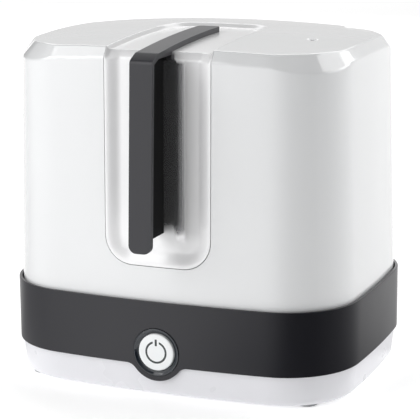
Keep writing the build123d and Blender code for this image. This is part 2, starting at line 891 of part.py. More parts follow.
with BuildPart() as plate_clamp:
    with BuildSketch(Plane.XY.offset(plate_under - clamp_thickness)):
        Circle(clamp_radius)
        Circle(plate_radius - seal_width, mode=Mode.SUBTRACT)
        with Locations(*clamp_places):
            Circle(screw_radius, mode=Mode.SUBTRACT)
    extrude(amount=clamp_thickness)
save(plate_clamp, "plate_clamp")

clamp_screws = screws(
    Plane.XY.offset(plate_under - clamp_thickness), clamp_places, clamp_thickness + clamp_screw_thread
)
save(clamp_screws, "clamp_screws")

element_z = plate_under - element_radius + element_flat
pin_angle = math.radians(90 - element_gap_angle / 2 - pin_angle_setback)
pin_x = element_circle * math.cos(pin_angle)
pin_y = element_circle * math.sin(pin_angle)
pins = [(-pin_x, pin_y), (pin_x, pin_y)]
with BuildPart() as element_terminals:
    discs(Plane.XY.offset(terminal_bottom), pins, terminal_radius, element_z - terminal_bottom)
save(element_terminals, "element_terminals")

with BuildPart() as heating_element:
    with BuildSketch(Plane.XZ):
        with Locations((element_circle, element_z)):
            Circle(element_radius)
        with Locations((element_circle, plate_under)):
            Rectangle(
                2 * element_radius,
                element_radius,
                align=(Align.CENTER, Align.MIN),
                mode=Mode.SUBTRACT,
            )
    revolve(axis=Axis.Z, revolution_arc=360 - element_gap_angle)
    add(element_terminals.part, mode=Mode.SUBTRACT)
save(heating_element, "heating_element")

with BuildPart() as thermostat:
    discs(Plane.XY.offset(plate_under), [(0, 0)], thermostat_radius, -thermostat_height)
save(thermostat, "thermostat")

bracket_low = plate_under - thermostat_height
bracket_reach = thermostat_radius + bracket_gap
with BuildPart() as thermostat_bracket:
    with BuildSketch(Plane.XZ.offset(-bracket_width / 2)):
        with BuildLine():
            Polyline(
                (-bracket_reach - bracket_foot, plate_under),
                (-bracket_reach, plate_under),
                (-bracket_reach, bracket_low),
                (bracket_reach, bracket_low),
                (bracket_reach, plate_under),
                (bracket_reach + bracket_foot, plate_under),
                (bracket_reach + bracket_foot, plate_under - bracket_thickness),
                (bracket_reach + bracket_thickness, plate_under - bracket_thickness),
                (bracket_reach + bracket_thickness, bracket_low - bracket_thickness),
                (-bracket_reach - bracket_thickness, bracket_low - bracket_thickness),
                (-bracket_reach - bracket_thickness, plate_under - bracket_thickness),
                (-bracket_reach - bracket_foot, plate_under - bracket_thickness),
                close=True,
            )
        make_face()
    extrude(amount=bracket_width)
save(thermostat_bracket, "thermostat_bracket")

with BuildPart() as thermal_fuse:
    fuse_x = -bracket_reach - bracket_foot - fuse_gap - fuse_radius
    fuse_z = plate_under - fuse_drop - fuse_radius
    discs(at_y(-fuse_length / 2), [(fuse_x, fuse_z)], fuse_radius, -fuse_length)
save(thermal_fuse, "thermal_fuse")

# Supply: terminal block, gland and the two leads to the element
with BuildPart() as terminal_block:
    with BuildSketch(Plane.XY.offset(shell_floor)):
        with Locations((0, block_y)):
            RectangleRounded(block_width, block_depth, block_corner)
    extrude(amount=block_height)
save(terminal_block, "terminal_block")

with BuildPart() as heater_leads:
    for side in (-1, 1):
        start = (side * pin_x, pin_y, terminal_bottom)
        with BuildLine() as route:
            FilletPolyline(
                start,
                (side * pin_x, pin_y, lead_level),
                (side * lead_spacing, block_y - block_depth / 2 - lead_straight, lead_level),
                (side * lead_spacing, block_y - block_depth / 2, lead_level),
                radius=[lead_bend, lead_sweep],
            )
        with BuildSketch(Plane(origin=start, z_dir=(0, 0, -1))):
            Circle(lead_radius)
        sweep(path=route.line)
save(heater_leads, "heater_leads")

with BuildPart() as cord_gland:
    discs(
        at_y(gland_face - gland_flange_thickness),
        [(0, gland_z)],
        gland_flange_radius,
        -gland_flange_thickness,
    )
    gland_back = gland_face - shell_wall - gland_boss - gland_tail
    discs(at_y(gland_back), [(0, gland_z)], gland_radius, -(gland_face - gland_back))
    discs(at_y(gland_back), [(0, gland_z)], gland_bore_radius, -half_depth, Mode.SUBTRACT)
save(cord_gland, "cord_gland")

# Bottom cover, its screws, the deck screws and the feet
cover_plane = Plane.XY.offset(foot_height)
with BuildPart() as bottom_cover:
    with BuildSketch(cover_plane):
        RectangleRounded(
            2 * (cover_half_x - cover_gap), 2 * (cover_half_y - cover_gap), cover_corner - cover_gap
        )
        with Locations(*cover_screw_places):
            Circle(screw_radius, mode=Mode.SUBTRACT)
        with GridLocations(cover_slot_pitch, cover_slot_row, 9, 3):
            SlotOverall(cover_slot_length, cover_slot_width, rotation=90, mode=Mode.SUBTRACT)
    extrude(amount=cover_thickness)
save(bottom_cover, "bottom_cover")

cover_screws = screws(cover_plane, cover_screw_places, cover_thickness + boss_height - screw_tip_gap)
save(cover_screws, "cover_screws")

deck_screws = screws(
    Plane.XY.offset(pillar_top - pillar_seat), foot_places, pillar_seat + deck_screw_thread
)
save(deck_screws, "deck_screws")

with BuildPart() as rubber_feet:
    discs(Plane.XY, foot_places, foot_radius, foot_height + foot_recess)
    chamfer(rubber_feet.edges().group_by(Axis.Z)[0], foot_chamfer)
save(rubber_feet, "rubber_feet")

# Lower basket: a lift-out rack with a pierced floor for six bottles
with BuildPart() as lower_basket:
    with BuildSketch(Plane.XY.offset(basket_floor_bottom)):
        add(outline(basket_inset))
    extrude(amount=basket_rise)
    with BuildSketch(Plane.XY.offset(basket_floor_top)):
        add(outline(basket_inset + basket_wall))
    extrude(amount=basket_rise, mode=Mode.SUBTRACT)
    discs(
        Plane.XY.offset(basket_foot_level),
        [(sx * basket_foot_x, sy * basket_foot_y) for sx in (-1, 1) for sy in (-1, 1)],
        basket_foot_radius,
        basket_floor_lift,
    )
    with BuildSketch(Plane.XY.offset(basket_floor_bottom)):
        with Locations(*cells):
            Circle(cell_hole_radius)
            with PolarLocations(cell_slot_circle, cell_slots):
                SlotOverall(cell_slot_length, cell_slot_width)
        with Locations(*post_places):
            Circle(spigot_radius)
    extrude(amount=basket_floor, mode=Mode.SUBTRACT)
save(lower_basket, "lower_basket")

# Bottle divider: crossed walls with a hub round each post
with BuildPart() as bottle_divider:
    with BuildSketch(Plane.XY.offset(basket_floor_top)):
        Rectangle(2 * half_width, divider_wall)
        with Locations(*post_places):
            Rectangle(divider_wall, 2 * half_depth)
            Circle(post_radius + hub_gap + hub_wall)
            Circle(post_radius + hub_gap, mode=Mode.SUBTRACT)
    extrude(amount=divider_height)
    with BuildSketch(Plane.XY.offset(basket_floor_top)):
        add(outline(basket_inset + basket_wall + divider_gap))
    extrude(amount=divider_height, mode=Mode.INTERSECT)
save(bottle_divider, "bottle_divider")

# Posts that stand in the basket's floor and carry the tray
with BuildPart() as tray_posts:
    discs(
        Plane.XY.offset(basket_floor_top), post_places, post_radius, post_top - basket_floor_top
    )
    discs(Plane.XY.offset(basket_floor_bottom), post_places, spigot_radius, basket_floor)
    discs(Plane.XY.offset(post_top), post_places, spigot_radius, spigot_length)
save(tray_posts, "tray_posts")

# Upper tray for teats and small parts
with BuildPart() as upper_tray:
    with BuildSketch(Plane.XY.offset(tray_bottom)):
        add(outline(tray_inset))
    extrude(amount=tray_depth)
    with BuildSketch(Plane.XY.offset(tray_bottom + tray_floor)):
        add(outline(tray_inset + tray_wall))
    extrude(amount=tray_depth, mode=Mode.SUBTRACT)
    with BuildSketch(Plane.XY.offset(tray_bottom)):
        with GridLocations(tray_slot_pitch_x, tray_slot_pitch_y, 7, 6):
            SlotOverall(tray_slot_length, tray_slot_width)
    extrude(amount=tray_floor, mode=Mode.SUBTRACT)
    socket_radius = spigot_radius + tray_socket_gap
    socket_height = spigot_length + 2 * tray_floor
    tray_plane = Plane.XY.offset(tray_bottom)
    discs(tray_plane, post_places, socket_radius + tray_socket_wall, socket_height)
    discs(tray_plane, post_places, socket_radius, spigot_length + rest_gap, Mode.SUBTRACT)
    with BuildSketch(Plane.XY.offset(tray_bottom + tray_floor)):
        with GridLocations(2 * tray_slot_pitch_x, 2 * tray_slot_pitch_y, 4, 3):
            Circle(peg_radius)
    extrude(amount=peg_height, taper=peg_taper)
save(upper_tray, "upper_tray")
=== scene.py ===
"""Looks of the baby bottle sterilizer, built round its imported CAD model.

Shapes are arrays of points on grids, in millimetres round the body's own middle. One function puts
them into the part's frame, in metres.
"""

import json
import logging
import math
from dataclasses import dataclass, field
from enum import Enum

import bmesh
import bpy
import numpy as np
from mathutils import Matrix, Vector


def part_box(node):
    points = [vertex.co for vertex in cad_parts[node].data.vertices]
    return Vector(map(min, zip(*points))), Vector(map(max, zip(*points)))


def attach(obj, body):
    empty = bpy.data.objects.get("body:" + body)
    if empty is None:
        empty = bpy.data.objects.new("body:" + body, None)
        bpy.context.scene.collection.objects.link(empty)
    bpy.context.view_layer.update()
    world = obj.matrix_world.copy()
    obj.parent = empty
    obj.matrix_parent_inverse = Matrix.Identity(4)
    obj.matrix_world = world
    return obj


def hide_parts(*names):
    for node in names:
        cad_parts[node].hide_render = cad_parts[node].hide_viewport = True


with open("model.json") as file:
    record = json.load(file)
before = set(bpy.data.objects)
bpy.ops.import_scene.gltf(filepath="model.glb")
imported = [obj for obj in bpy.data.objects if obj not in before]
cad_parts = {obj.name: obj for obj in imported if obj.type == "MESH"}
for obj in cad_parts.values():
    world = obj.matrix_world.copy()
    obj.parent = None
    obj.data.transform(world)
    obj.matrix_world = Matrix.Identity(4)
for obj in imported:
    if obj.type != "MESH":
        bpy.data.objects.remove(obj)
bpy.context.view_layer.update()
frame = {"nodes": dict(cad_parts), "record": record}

MM = 0.001
WELD = 0.00002          # points closer than this are one point, in metres
NEAR = 1e-6             # grid lines closer than this are one line, in millimetres
INSIDE = (0, 0, 150)    # a point inside the body, from which open skins face away
MIX_A, MIX_B, MIXED = 6, 7, 2   # colour sockets of a Mix node
Tree = bpy.types.NodeTree
Socket = bpy.types.NodeSocket
log = logging.getLogger("sterilizer")


def body_middle() -> float:
    """Y of the body's middle in the part's frame, in millimetres, from the collar band's box."""
    low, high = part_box("collar_band")
    return (low.y + high.y) / 2 / MM


MIDDLE_Y = body_middle()


class Slot(Enum):
    """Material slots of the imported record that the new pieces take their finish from."""

    HOOD = "white_hood"
    BUTTON = "white_button"
    BAND = "dark_band"
    HANDLE = "dark_handle"
    RING = "dark_gloss_ring"


class Texture(Enum):
    """How a finish's surface was made, which decides its fine pattern."""

    MOULDED = "moulded"
    BRUSHED = "brushed"
    WOVEN = "woven"
    TRACES = "traces"


def smooth(t: np.ndarray) -> np.ndarray:
    """Eased step: 3t^2 - 2t^3 of t held between 0 and 1.

    Args:
        t: Any array.
    Returns:
        Values from 0 to 1, flat at both ends.
    """
    t = np.clip(t, 0.0, 1.0)
    return t * t * (3.0 - 2.0 * t)


def spread(*stops: float, counts: tuple) -> np.ndarray:
    """Rising values with evenly divided runs between the stops.

    Args:
        stops: Ends of the runs.
        counts: Number of steps in each run.
    Returns:
        One array from the first stop to the last.
    """
    runs = [np.linspace(a, b, n + 1)[1:] for a, b, n in zip(stops[:-1], stops[1:], counts)]
    return np.concatenate([[stops[0]], *runs])


def mirrored(values: np.ndarray) -> np.ndarray:
    """Values from zero up, continued below zero as their mirror image."""
    return np.concatenate([-values[:0:-1], values])


def pairs(first: np.ndarray | float, second: np.ndarray | float) -> np.ndarray:
    """Rows of two values. A single value is repeated beside an array."""
    return np.stack(np.broadcast_arrays(first, second), axis=-1)


def rounded_corner(t: np.ndarray, start: np.ndarray, corner: np.ndarray, end: np.ndarray) -> np.ndarray:
    """Quadratic curve that rounds a corner: (1-t)^2 start + 2t(1-t) corner + t^2 end."""
    return (1 - t) ** 2 * start + 2 * t * (1 - t) * corner + t**2 * end


# Mesh pieces


@dataclass
class Sheet:
    """A grid of points with the cells to leave out."""

    points: np.ndarray
    keep: np.ndarray | None = None
    closed: bool = False

    def cells(self, start: int) -> np.ndarray:
        """Corner indices of the kept cells.

        Args:
            start: Index of the grid's first point in the whole mesh.
        Returns:
            Four indices for each cell.
        """
        rows, cols = self.points.shape[:2]
        index = np.arange(rows * cols).reshape(rows, cols) + start
        if self.closed:
            index = np.concatenate([index, index[:, :1]], axis=1)
        quads = np.stack([index[:-1, :-1], index[:-1, 1:], index[1:, 1:], index[1:, :-1]], axis=-1)
        if self.keep is not None:
            return quads[self.keep]
        return quads.reshape(-1, 4)


@dataclass
class Piece:
    """One named mesh made of sheets that are welded along their common edges."""

    name: str
    slot: Slot
    body: str
    stands_for: tuple = ()
    finish: str = ""             # finish other than its slot's
    wall: float = 0.0
    edge: float = 0.0
    edge_steps: int = 2
    crease_angle: float = 40.0
    sheets: list = field(default_factory=list)

    def add(self, *coords: np.ndarray, keep: np.ndarray | None = None, closed: bool = False) -> None:
        """Adds a grid.

        Args:
            coords: Its x, y and z arrays, in millimetres.
            keep: Mask of the cells to keep.
            closed: Whether its last column joins its first.
        """
        points = np.stack(np.broadcast_arrays(*coords), axis=-1).astype(float)
        self.sheets.append(Sheet(points, keep, closed))

    def build(self) -> bpy.types.Object:
        """Welds the sheets, points their faces outwards and hangs the piece on its body.

        Returns:
            The finished object, with its wall and edge modifiers.
        """
        points = np.concatenate([s.points.reshape(-1, 3) for s in self.sheets])
        starts = np.cumsum([0] + [s.points[..., 0].size for s in self.sheets])
        quads = np.concatenate([s.cells(a) for s, a in zip(self.sheets, starts)])
        points = (points + [0.0, MIDDLE_Y, 0.0]) * MM
        mesh = bpy.data.meshes.new(self.name)
        mesh.from_pydata(points, [], quads.tolist())
        tidy = bmesh.new()
        tidy.from_mesh(mesh)
        bmesh.ops.remove_doubles(tidy, verts=tidy.verts, dist=WELD)
        bmesh.ops.delete(tidy, geom=[v for v in tidy.verts if not v.link_faces], context="VERTS")
        bmesh.ops.recalc_face_normals(tidy, faces=tidy.faces)
        middle = (Vector(INSIDE) + Vector((0, MIDDLE_Y, 0))) * MM
        lean = sum((f.calc_center_median() - middle).dot(f.normal) * f.calc_area() for f in tidy.faces)
        if lean < 0:
            bmesh.ops.reverse_faces(tidy, faces=tidy.faces)
        tidy.to_mesh(mesh)
        tidy.free()
        mesh.polygons.foreach_set("use_smooth", np.ones(len(mesh.polygons), bool))
        mesh.set_sharp_from_angle(angle=math.radians(self.crease_angle))
        piece = bpy.data.objects.new(self.name, mesh)
        bpy.context.scene.collection.objects.link(piece)
        if self.wall:
            solid = piece.modifiers.new("wall", "SOLIDIFY")
            solid.thickness = self.wall * MM
            solid.offset = -1.0
            solid.use_even_offset = True
            solid.use_quality_normals = True
        if self.edge:
            soften(piece, self.edge, self.edge_steps, self.crease_angle)
        return hang(piece, self.finish or self.slot.value, self.body, self.stands_for)


def soften(piece: bpy.types.Object, width: float, steps: int, angle: float) -> None:
    """Rounds a piece's sharp edges.

    Args:
        piece: The mesh object.
        width: Width of the round, in millimetres.
        steps: Number of faces across it.
        angle: Edges sharper than this many degrees are rounded.
    """
    bevel = piece.modifiers.new("edges", "BEVEL")
    bevel.width = width * MM
    bevel.segments = steps
    bevel.limit_method = "ANGLE"
    bevel.angle_limit = math.radians(angle)
    bevel.use_clamp_overlap = True
    bevel.harden_normals = False
    even = piece.modifiers.new("shading", "WEIGHTED_NORMAL")
    even.keep_sharp = False


def hang(piece: bpy.types.Object, finish: str, body: str, stands_for: tuple) -> bpy.types.Object:
    """Gives a piece its finish and its body, and hides the CAD nodes that it stands for.

    Args:
        piece: The mesh object.
        finish: Name of the finish.
        body: Name of the body it moves with.
        stands_for: CAD nodes that it replaces.
    Returns:
        The same object.
    """
    piece.data.materials.clear()
    piece.data.materials.append(FINISHES[finish].material())
    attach(piece, body)
    if stands_for:
        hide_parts(*stands_for)
    log.info("%s: %d faces on %s", piece.name, len(piece.data.polygons), body)
    return piece


# Plan and hood forms


@dataclass(frozen=True)
class Plan:
    """Outline that hood, band and base share: a bowed rectangle with round corners."""

    half_width: float = 153.5
    half_depth: float = 117.0
    front_bow: float = 1000.0
    side_bow: float = 950.0
    corner: float = 64.0
    corner_x: float = 88.1529
    corner_y: float = 48.8396
    nominal_inset: float = 10.0  # where columns are spaced evenly
    corner_share: float = 0.42   # how far the corners' wider bevel reaches, as a part of their arc

    def sweeps(self) -> tuple[float, float]:
        """Ends of the corner arc.

        Returns:
            Angles, in radians, at which it meets the side arc and the front arc.
        """
        side = math.atan2(self.corner_y, self.corner_x + self.side_bow - self.half_width)
        front = math.pi / 2 - math.atan2(self.corner_x, self.corner_y + self.front_bow - self.half_depth)
        return side, front

    def strip_y(self, x: np.ndarray, inset: np.ndarray) -> np.ndarray:
        """Distance of the front arc, moved inwards by the inset, from the middle plane.

        The arc's circle gives sqrt((bow - inset)^2 - x^2), less its centre's distance.
        """
        return np.sqrt((self.front_bow - inset) ** 2 - x**2) + self.half_depth - self.front_bow

    def around(self, turn: np.ndarray, inset: np.ndarray) -> tuple[np.ndarray, np.ndarray]:
        """Points on a parallel curve of the outline.

        The direction of the outline's normal picks the arc, and the point is the arc's centre plus
        its radius less the inset, in that direction.

        Args:
            turn: Direction of the normal in radians, -pi/2 at the front, 0 at the right side.
            inset: Distance inwards from the outline.
        Returns:
            x and y of the points in the right half.
        """
        side, front = self.sweeps()
        fold = np.abs(turn)
        on_front = fold > front
        on_side = fold < side
        cx = np.where(on_front, 0.0, np.where(on_side, self.half_width - self.side_bow, self.corner_x))
        cy = np.where(on_front, self.half_depth - self.front_bow, np.where(on_side, 0.0, self.corner_y))
        radius = np.where(on_front, self.front_bow, np.where(on_side, self.side_bow, self.corner))
        x = cx + (radius - inset) * np.cos(fold)
        y = cy + (radius - inset) * np.sin(fold)
        return x, np.sign(turn) * y

    def turns(self, shares: np.ndarray, start: float, end: float) -> np.ndarray:
        """Directions of the normal at even or given shares of the way between two directions.

        Args:
            shares: Shares from 0 to 1 of the length along the outline.
            start: First direction, in radians from 0 to pi/2.
            end: Last direction.
        Returns:
            One direction for each share.
        """
        side, front = self.sweeps()
        knots = np.array([0.0, side, front, math.pi / 2])
        radii = np.array([self.side_bow, self.corner, self.front_bow]) - self.nominal_inset
        along = np.concatenate([[0.0], np.cumsum(np.diff(knots) * radii)])
        a, b = np.interp([start, end], knots, along)
        return np.interp(a + (b - a) * shares, along, knots)


PLAN = Plan()


@dataclass
class Columns:
    """Upright lines round the body: strips keep their x, the others stand square to the outline."""

    x: np.ndarray
    side: np.ndarray
    turn: np.ndarray
    hand: np.ndarray
    strip: np.ndarray

    @classmethod
    def at_x(cls, x: np.ndarray, side: int) -> "Columns":
        """Strip columns on the front (side -1) or the back (side 1)."""
        none = np.zeros_like(x)
        return cls(x, none + side, none, none + 1, np.ones_like(x, bool))

    @classmethod
    def at_turn(cls, turn: np.ndarray, hand: int) -> "Columns":
        """Columns of the right half (hand 1) or the left half (hand -1)."""
        none = np.zeros_like(turn)
        return cls(none, none, turn, none + hand, np.zeros_like(turn, bool))

    def __add__(self, other: "Columns") -> "Columns":
        """These columns followed by the others."""
        names = ("x", "side", "turn", "hand", "strip")
        return Columns(*(np.concatenate([getattr(self, n), getattr(other, n)]) for n in names))

    def place(self, inset: np.ndarray) -> tuple[np.ndarray, np.ndarray]:
        """Points of the columns.

        Args:
            inset: Distance inwards from the outline, broadcast over the columns.
        Returns:
            x and y.
        """
        strip_y = self.side * PLAN.strip_y(np.where(self.strip, self.x, 0.0), inset)
        turn_x, turn_y = PLAN.around(self.turn, inset)
        x = np.where(self.strip, self.x + 0.0 * inset, self.hand * turn_x)
        return x, np.where(self.strip, strip_y, turn_y)

    def cornering(self) -> np.ndarray:
        """How much of a corner each column is: exp(-(c / share)^4), c from the corner's middle.

        Returns:
            1 in the middle of each corner, falling to 0 on the flat walls.
        """
        side, front = PLAN.sweeps()
        share = (np.abs(self.turn) - side) / (front - side) - 0.5
        return np.where(self.strip, 0.0, np.exp(-((share / PLAN.corner_share) ** 4)))


@dataclass(frozen=True)
class HoodForm:
    """Walls, bevel and crowned top of the hood, or of the dish sunk into it."""

    height: float = 290.0
    sag_x: float = 7.23          # the top's fall at the side, out at the band's half width
    sag_y: float = 5.58          # and at the front
    rim_level: float = 68.8
    rim_inset: float = 3.3
    lean: float = 0.02584        # the walls' draft, as a slope
    drop: float = 8.0            # bevel's height on the front
    reach: float = 5.9           # bevel's width seen from above
    corner_drop: float = 4.3     # both grow in the corners
    corner_reach: float = 6.2
    soft: float = 1.5            # length over which the bevel's edges are rounded
    sink_wall: float = 0.0
    sink_top: float = 0.0
    soft_steps: int = 5

    def crown(self, x: np.ndarray, y: np.ndarray) -> np.ndarray:
        """Height of the top: the crown less a fall that grows with the square of x and of y."""
        fall = self.sag_x * (x / PLAN.half_width) ** 2 + self.sag_y * (y / PLAN.half_depth) ** 2
        return self.height - self.sink_top - fall

    def wall_inset(self, z: np.ndarray) -> np.ndarray:
        """Distance of the wall inside the band's outline, which grows with height by the draft."""
        return self.rim_inset + self.sink_wall + self.lean * (z - self.rim_level)

    def bevel_foot(self, columns: Columns) -> np.ndarray:
        """Height of the bevel's lower edge on each column."""
        x, y = columns.place(self.wall_inset(self.height - 2 * self.drop))
        return self.crown(x, y) + self.sink_top - self.drop - self.corner_drop * columns.cornering()

    def bevel(self, columns: Columns) -> tuple[np.ndarray, np.ndarray]:
        """The bevel's section on each column, with its two edges rounded.

        Each rounded edge is a quadratic curve that leaves the wall and meets the bevel (or leaves the
        bevel and meets the top) at the soft length from the sharp corner.

        Args:
            columns: The columns to work out.
        Returns:
            Insets and heights, one row for each step along the section.
        """
        z1 = self.bevel_foot(columns)
        foot = np.stack([self.wall_inset(z1), z1])
        head_inset = foot[0] + self.reach + self.corner_reach * columns.cornering()
        head = np.stack([head_inset, self.crown(*columns.place(head_inset))])
        far_inset = head_inset + self.soft
        far = np.stack([far_inset, self.crown(*columns.place(far_inset))])
        near = foot - self.soft * np.array([[self.lean], [1.0]])
        along = (head - foot) / np.linalg.norm(head - foot, axis=0) * self.soft
        t = np.linspace(0, 1, self.soft_steps)[:, None, None]
        rows = np.concatenate([
            rounded_corner(t, near, foot, foot + along), rounded_corner(t, head - along, head, far),
        ])
        return rows[:, 0], rows[:, 1]

    def wall_levels(self, columns: Columns, levels: np.ndarray, upper: tuple) -> np.ndarray:
        """Heights of the wall's rows: fixed levels, then shares of the way to the bevel.

        Args:
            columns: The columns to work out.
            levels: The fixed levels.
            upper: The shares.
        Returns:
            Heights, one row for each level and share.
        """
        top = self.bevel(columns)[1][0]
        fixed = np.broadcast_to(levels[:, None], (levels.size, top.size))
        return np.concatenate([fixed, levels[-1] + (top - levels[-1]) * np.array(upper)[:, None]])


@dataclass(frozen=True)
class Seam:
    """U-shaped seam round the handle panel, on the front wall and on the top.

    Each leg is drawn in a flat chart: u is x, and v runs from the closed end of the U to its open
    end, which is z on the front and -y on the top.
    """

    centre_u: float
    centre_v: float
    radius: float

    @property
    def side(self) -> float:
        """u of its straight side."""
        return self.centre_u + self.radius

    def depth(self, u: np.ndarray, v: np.ndarray) -> np.ndarray:
        """Distance inwards from the seam: the signed distance of a rounded box that is open above.

        Args:
            u: First coordinate in the leg's chart.
            v: Second coordinate.
        Returns:
            The distance, negative outside the seam.
        """
        qu = np.abs(u) - self.centre_u
        qv = self.centre_v - v
        outside = np.hypot(np.maximum(qu, 0.0), np.maximum(qv, 0.0))
        return self.radius - outside - np.minimum(np.maximum(qu, qv), 0.0)

    def lattice(
        self, grow: float, half: float, base: float, u_lines: np.ndarray, v_lines: np.ndarray, across: np.ndarray
    ) -> tuple[np.ndarray, np.ndarray]:
        """Nodes between the seam and a square boundary round it or inside it.

        Rows go out from the U's closed end on its middle line, round the corner and up the side. In
        the corner they follow rays from the corner's centre.

        Args:
            grow: Distance of the first line from the seam, outwards.
            half: u of the square boundary's side.
            base: v of its closed end.
            u_lines: Nodes on its end, from 0 to half.
            v_lines: Nodes on its side, from base upwards.
            across: Shares of the way from the seam to the boundary.
        Returns:
            u and v of the nodes.
        """
        radius = self.radius + grow
        centre = np.array([self.centre_u, self.centre_v])
        flat = u_lines[u_lines <= self.centre_u + NEAR]
        turn_u = u_lines[u_lines > self.centre_u + NEAR]
        turn_v = v_lines[(v_lines > base + NEAR) & (v_lines < self.centre_v - NEAR)]
        side = v_lines[v_lines >= self.centre_v - NEAR]
        corner = np.concatenate([pairs(turn_u, base), pairs(half, turn_v)])
        rays = corner - centre
        rays = rays / np.linalg.norm(rays, axis=1)[:, None] * radius + centre
        far = np.concatenate([pairs(flat, base), corner, pairs(half, side)])
        near = np.concatenate([
            pairs(flat, self.centre_v - radius), rays, pairs(self.centre_u + radius, side),
        ])
        grid = near[:, None] + (far - near)[:, None] * across[None, :, None]
        return grid[..., 0], grid[..., 1]


@dataclass
class Hood:
    """White hood: the shell with its steam vent, and the dished handle panel in its front and top."""

    form: HoodForm = HoodForm()
    dish: HoodForm = HoodForm(drop=8.7, reach=5.3, sink_wall=5.0, sink_top=3.5, corner_drop=0, corner_reach=0)
    front: Seam = Seam(centre_u=22.5, centre_v=133.0, radius=24.0)
    top: Seam = Seam(centre_u=22.5, centre_v=-17.0, radius=24.0)
    half: float = 60.0           # square boundary round the seam
    front_base: float = 95.5
    top_base: float = -54.5
    core: float = 33.0           # square boundary inside it
    plate_x: float = 118.0       # corners of the rectangle in the middle of the top
    plate_y: float = 60.0
    vent: tuple = (100.4, -22.7)
    vent_block: float = 12.4     # half of the square round it
    vent_radius: float = 2.8
    vent_rows: tuple = (1.0, 1.15, 1.35, 1.55, 1.75, 1.93, 2.1, 2.6)  # the dimple starts at the second
    dimple_radius: float = 5.4
    dimple_depth: float = 0.8
    gap: float = 0.6
    top_gap: float = 0.06        # on the top the seam is shut
    wall: float = 2.4
    panel_wall: float = 2.8
    level_top: float = 250.0     # up to here the wall's rows are level
    back_line: float = 57.0      # last line of the top's rectangle before its back edge
    upper: tuple = (0.35, 0.7, 1.0)      # rows above the level ones, as shares of the way to the bevel
    shell_rows: tuple = (0.0, 0.5, 1.6, 4.0, 8.5, 13.5)  # distances of rows from the seam
    panel_rows: tuple = (0.0, 0.5, 1.1, 1.8, 2.7, 3.7, 4.9, 6.2, 7.5, 8.9, 10.3, 11.7, 13.1)
    front_land: float = 1.0      # strip inside the seam that stays at the hood's level
    front_slope: float = 12.1    # width of the slope inside it
    top_land: float = 0.4        # the same two on the top, along its sides
    top_slope: float = 3.0
    end_slope: float = 7.0       # how much wider the slope is at the far end
    end_start: float = 5.0       # v at which it begins to widen, and the length over which it does
    end_run: float = 30.0

    def __post_init__(self) -> None:
        """Works out the grid lines that the sheets share."""
        vx, vy = self.vent
        b = self.vent_block
        self.outer_x = spread(self.half, vx - b, vx + b, self.plate_x, counts=(7, 8, 2))
        corner_y = spread(-self.top.centre_v, -self.top_base, counts=(8,))
        low_y = spread(-self.plate_y, vy - b, vy + b, -self.top.centre_v, counts=(6, 8, 7))
        self.lines_y = np.concatenate([low_y, corner_y[1:], [self.back_line, self.plate_y]])
        self.front_x = spread(0, self.front.centre_u, self.half, counts=(5, 9))
        self.back_x = spread(0, self.top.centre_u, self.half, counts=(5, 8))
        self.core_x = spread(0, self.top.centre_u, self.core, counts=(7, 5))
        centre_v, core_base = self.front.centre_v, self.front.centre_v - self.core + self.front.centre_u
        self.levels = spread(self.form.rim_level, self.front_base, centre_v, self.level_top, counts=(4, 9, 16))
        self.core_levels = spread(core_base, centre_v, self.level_top, counts=(5, 16))
        behind = -self.lines_y[self.lines_y <= -self.top.centre_v + NEAR][::-1]
        ends = spread(self.top.centre_v - self.core + self.top.centre_u, self.top.centre_v, counts=(5,))
        self.core_v = np.concatenate([ends[:-1], behind])
        self.runs = np.linspace(0, 1, 9)
        self.shell_across = np.array(self.shell_rows) / self.shell_rows[-1]
        self.panel_across = np.array(self.panel_rows) / self.panel_rows[-1]

    def ring(self) -> Columns:
        """Columns round the hood.

        Returns:
            Those from the seam's right boundary round the back to its left boundary.
        """
        middle = sum(PLAN.sweeps()) / 2
        start = math.acos(self.half / (PLAN.front_bow - PLAN.nominal_inset))
        along = (self.outer_x - self.half) / (self.plate_x - self.half)
        quarter = PLAN.turns(along, start, middle)[1:]
        share = np.abs(self.lines_y / self.plate_y)
        flank = PLAN.turns(1 - share, middle, 0.0) * np.sign(self.lines_y)
        right = np.concatenate([-quarter[:-1], flank, quarter[-2::-1]])
        first = Columns.at_x(np.array([self.half]), -1)
        back = Columns.at_x(mirrored(self.back_x)[::-1], 1)
        last = Columns.at_x(np.array([-self.half]), -1)
        return first + Columns.at_turn(right, 1) + back + Columns.at_turn(right[::-1], -1) + last

    def plate_rim(self) -> tuple[np.ndarray, np.ndarray]:
        """Boundary of the top's rectangle.

        Returns:
            x and y of one point for each column of the ring.
        """
        x, y = self.outer_x, self.lines_y
        back = mirrored(self.back_x)[::-1]
        right = np.concatenate([pairs(x, -self.plate_y), pairs(self.plate_x, y[1:]), pairs(x[-2::-1], self.plate_y)])
        rim = np.concatenate([right, pairs(back[1:-1], self.plate_y), right[::-1] * [-1, 1]])
        return rim[:, 0], rim[:, 1]

    def shell(self) -> Piece:
        """Outer skin of the hood without the panel's window, given its wall by a modifier.

        Returns:
            The piece, not yet built.
        """
        piece = Piece("hood_shell_skin", Slot.HOOD, "lid", ("hood_shell",), wall=self.wall, edge=0.3)
        self.climb(piece, self.ring(), self.levels, 1, self.plate_rim())
        below = Columns.at_x(mirrored(self.front_x), -1)
        z = self.levels[self.levels <= self.front_base + NEAR][:, None]
        piece.add(*below.place(self.form.wall_inset(z)), z)
        self.add_plate(piece)
        self.add_vent(piece)
        for hand in (1, -1):
            self.add_collar(piece, hand)
        return piece

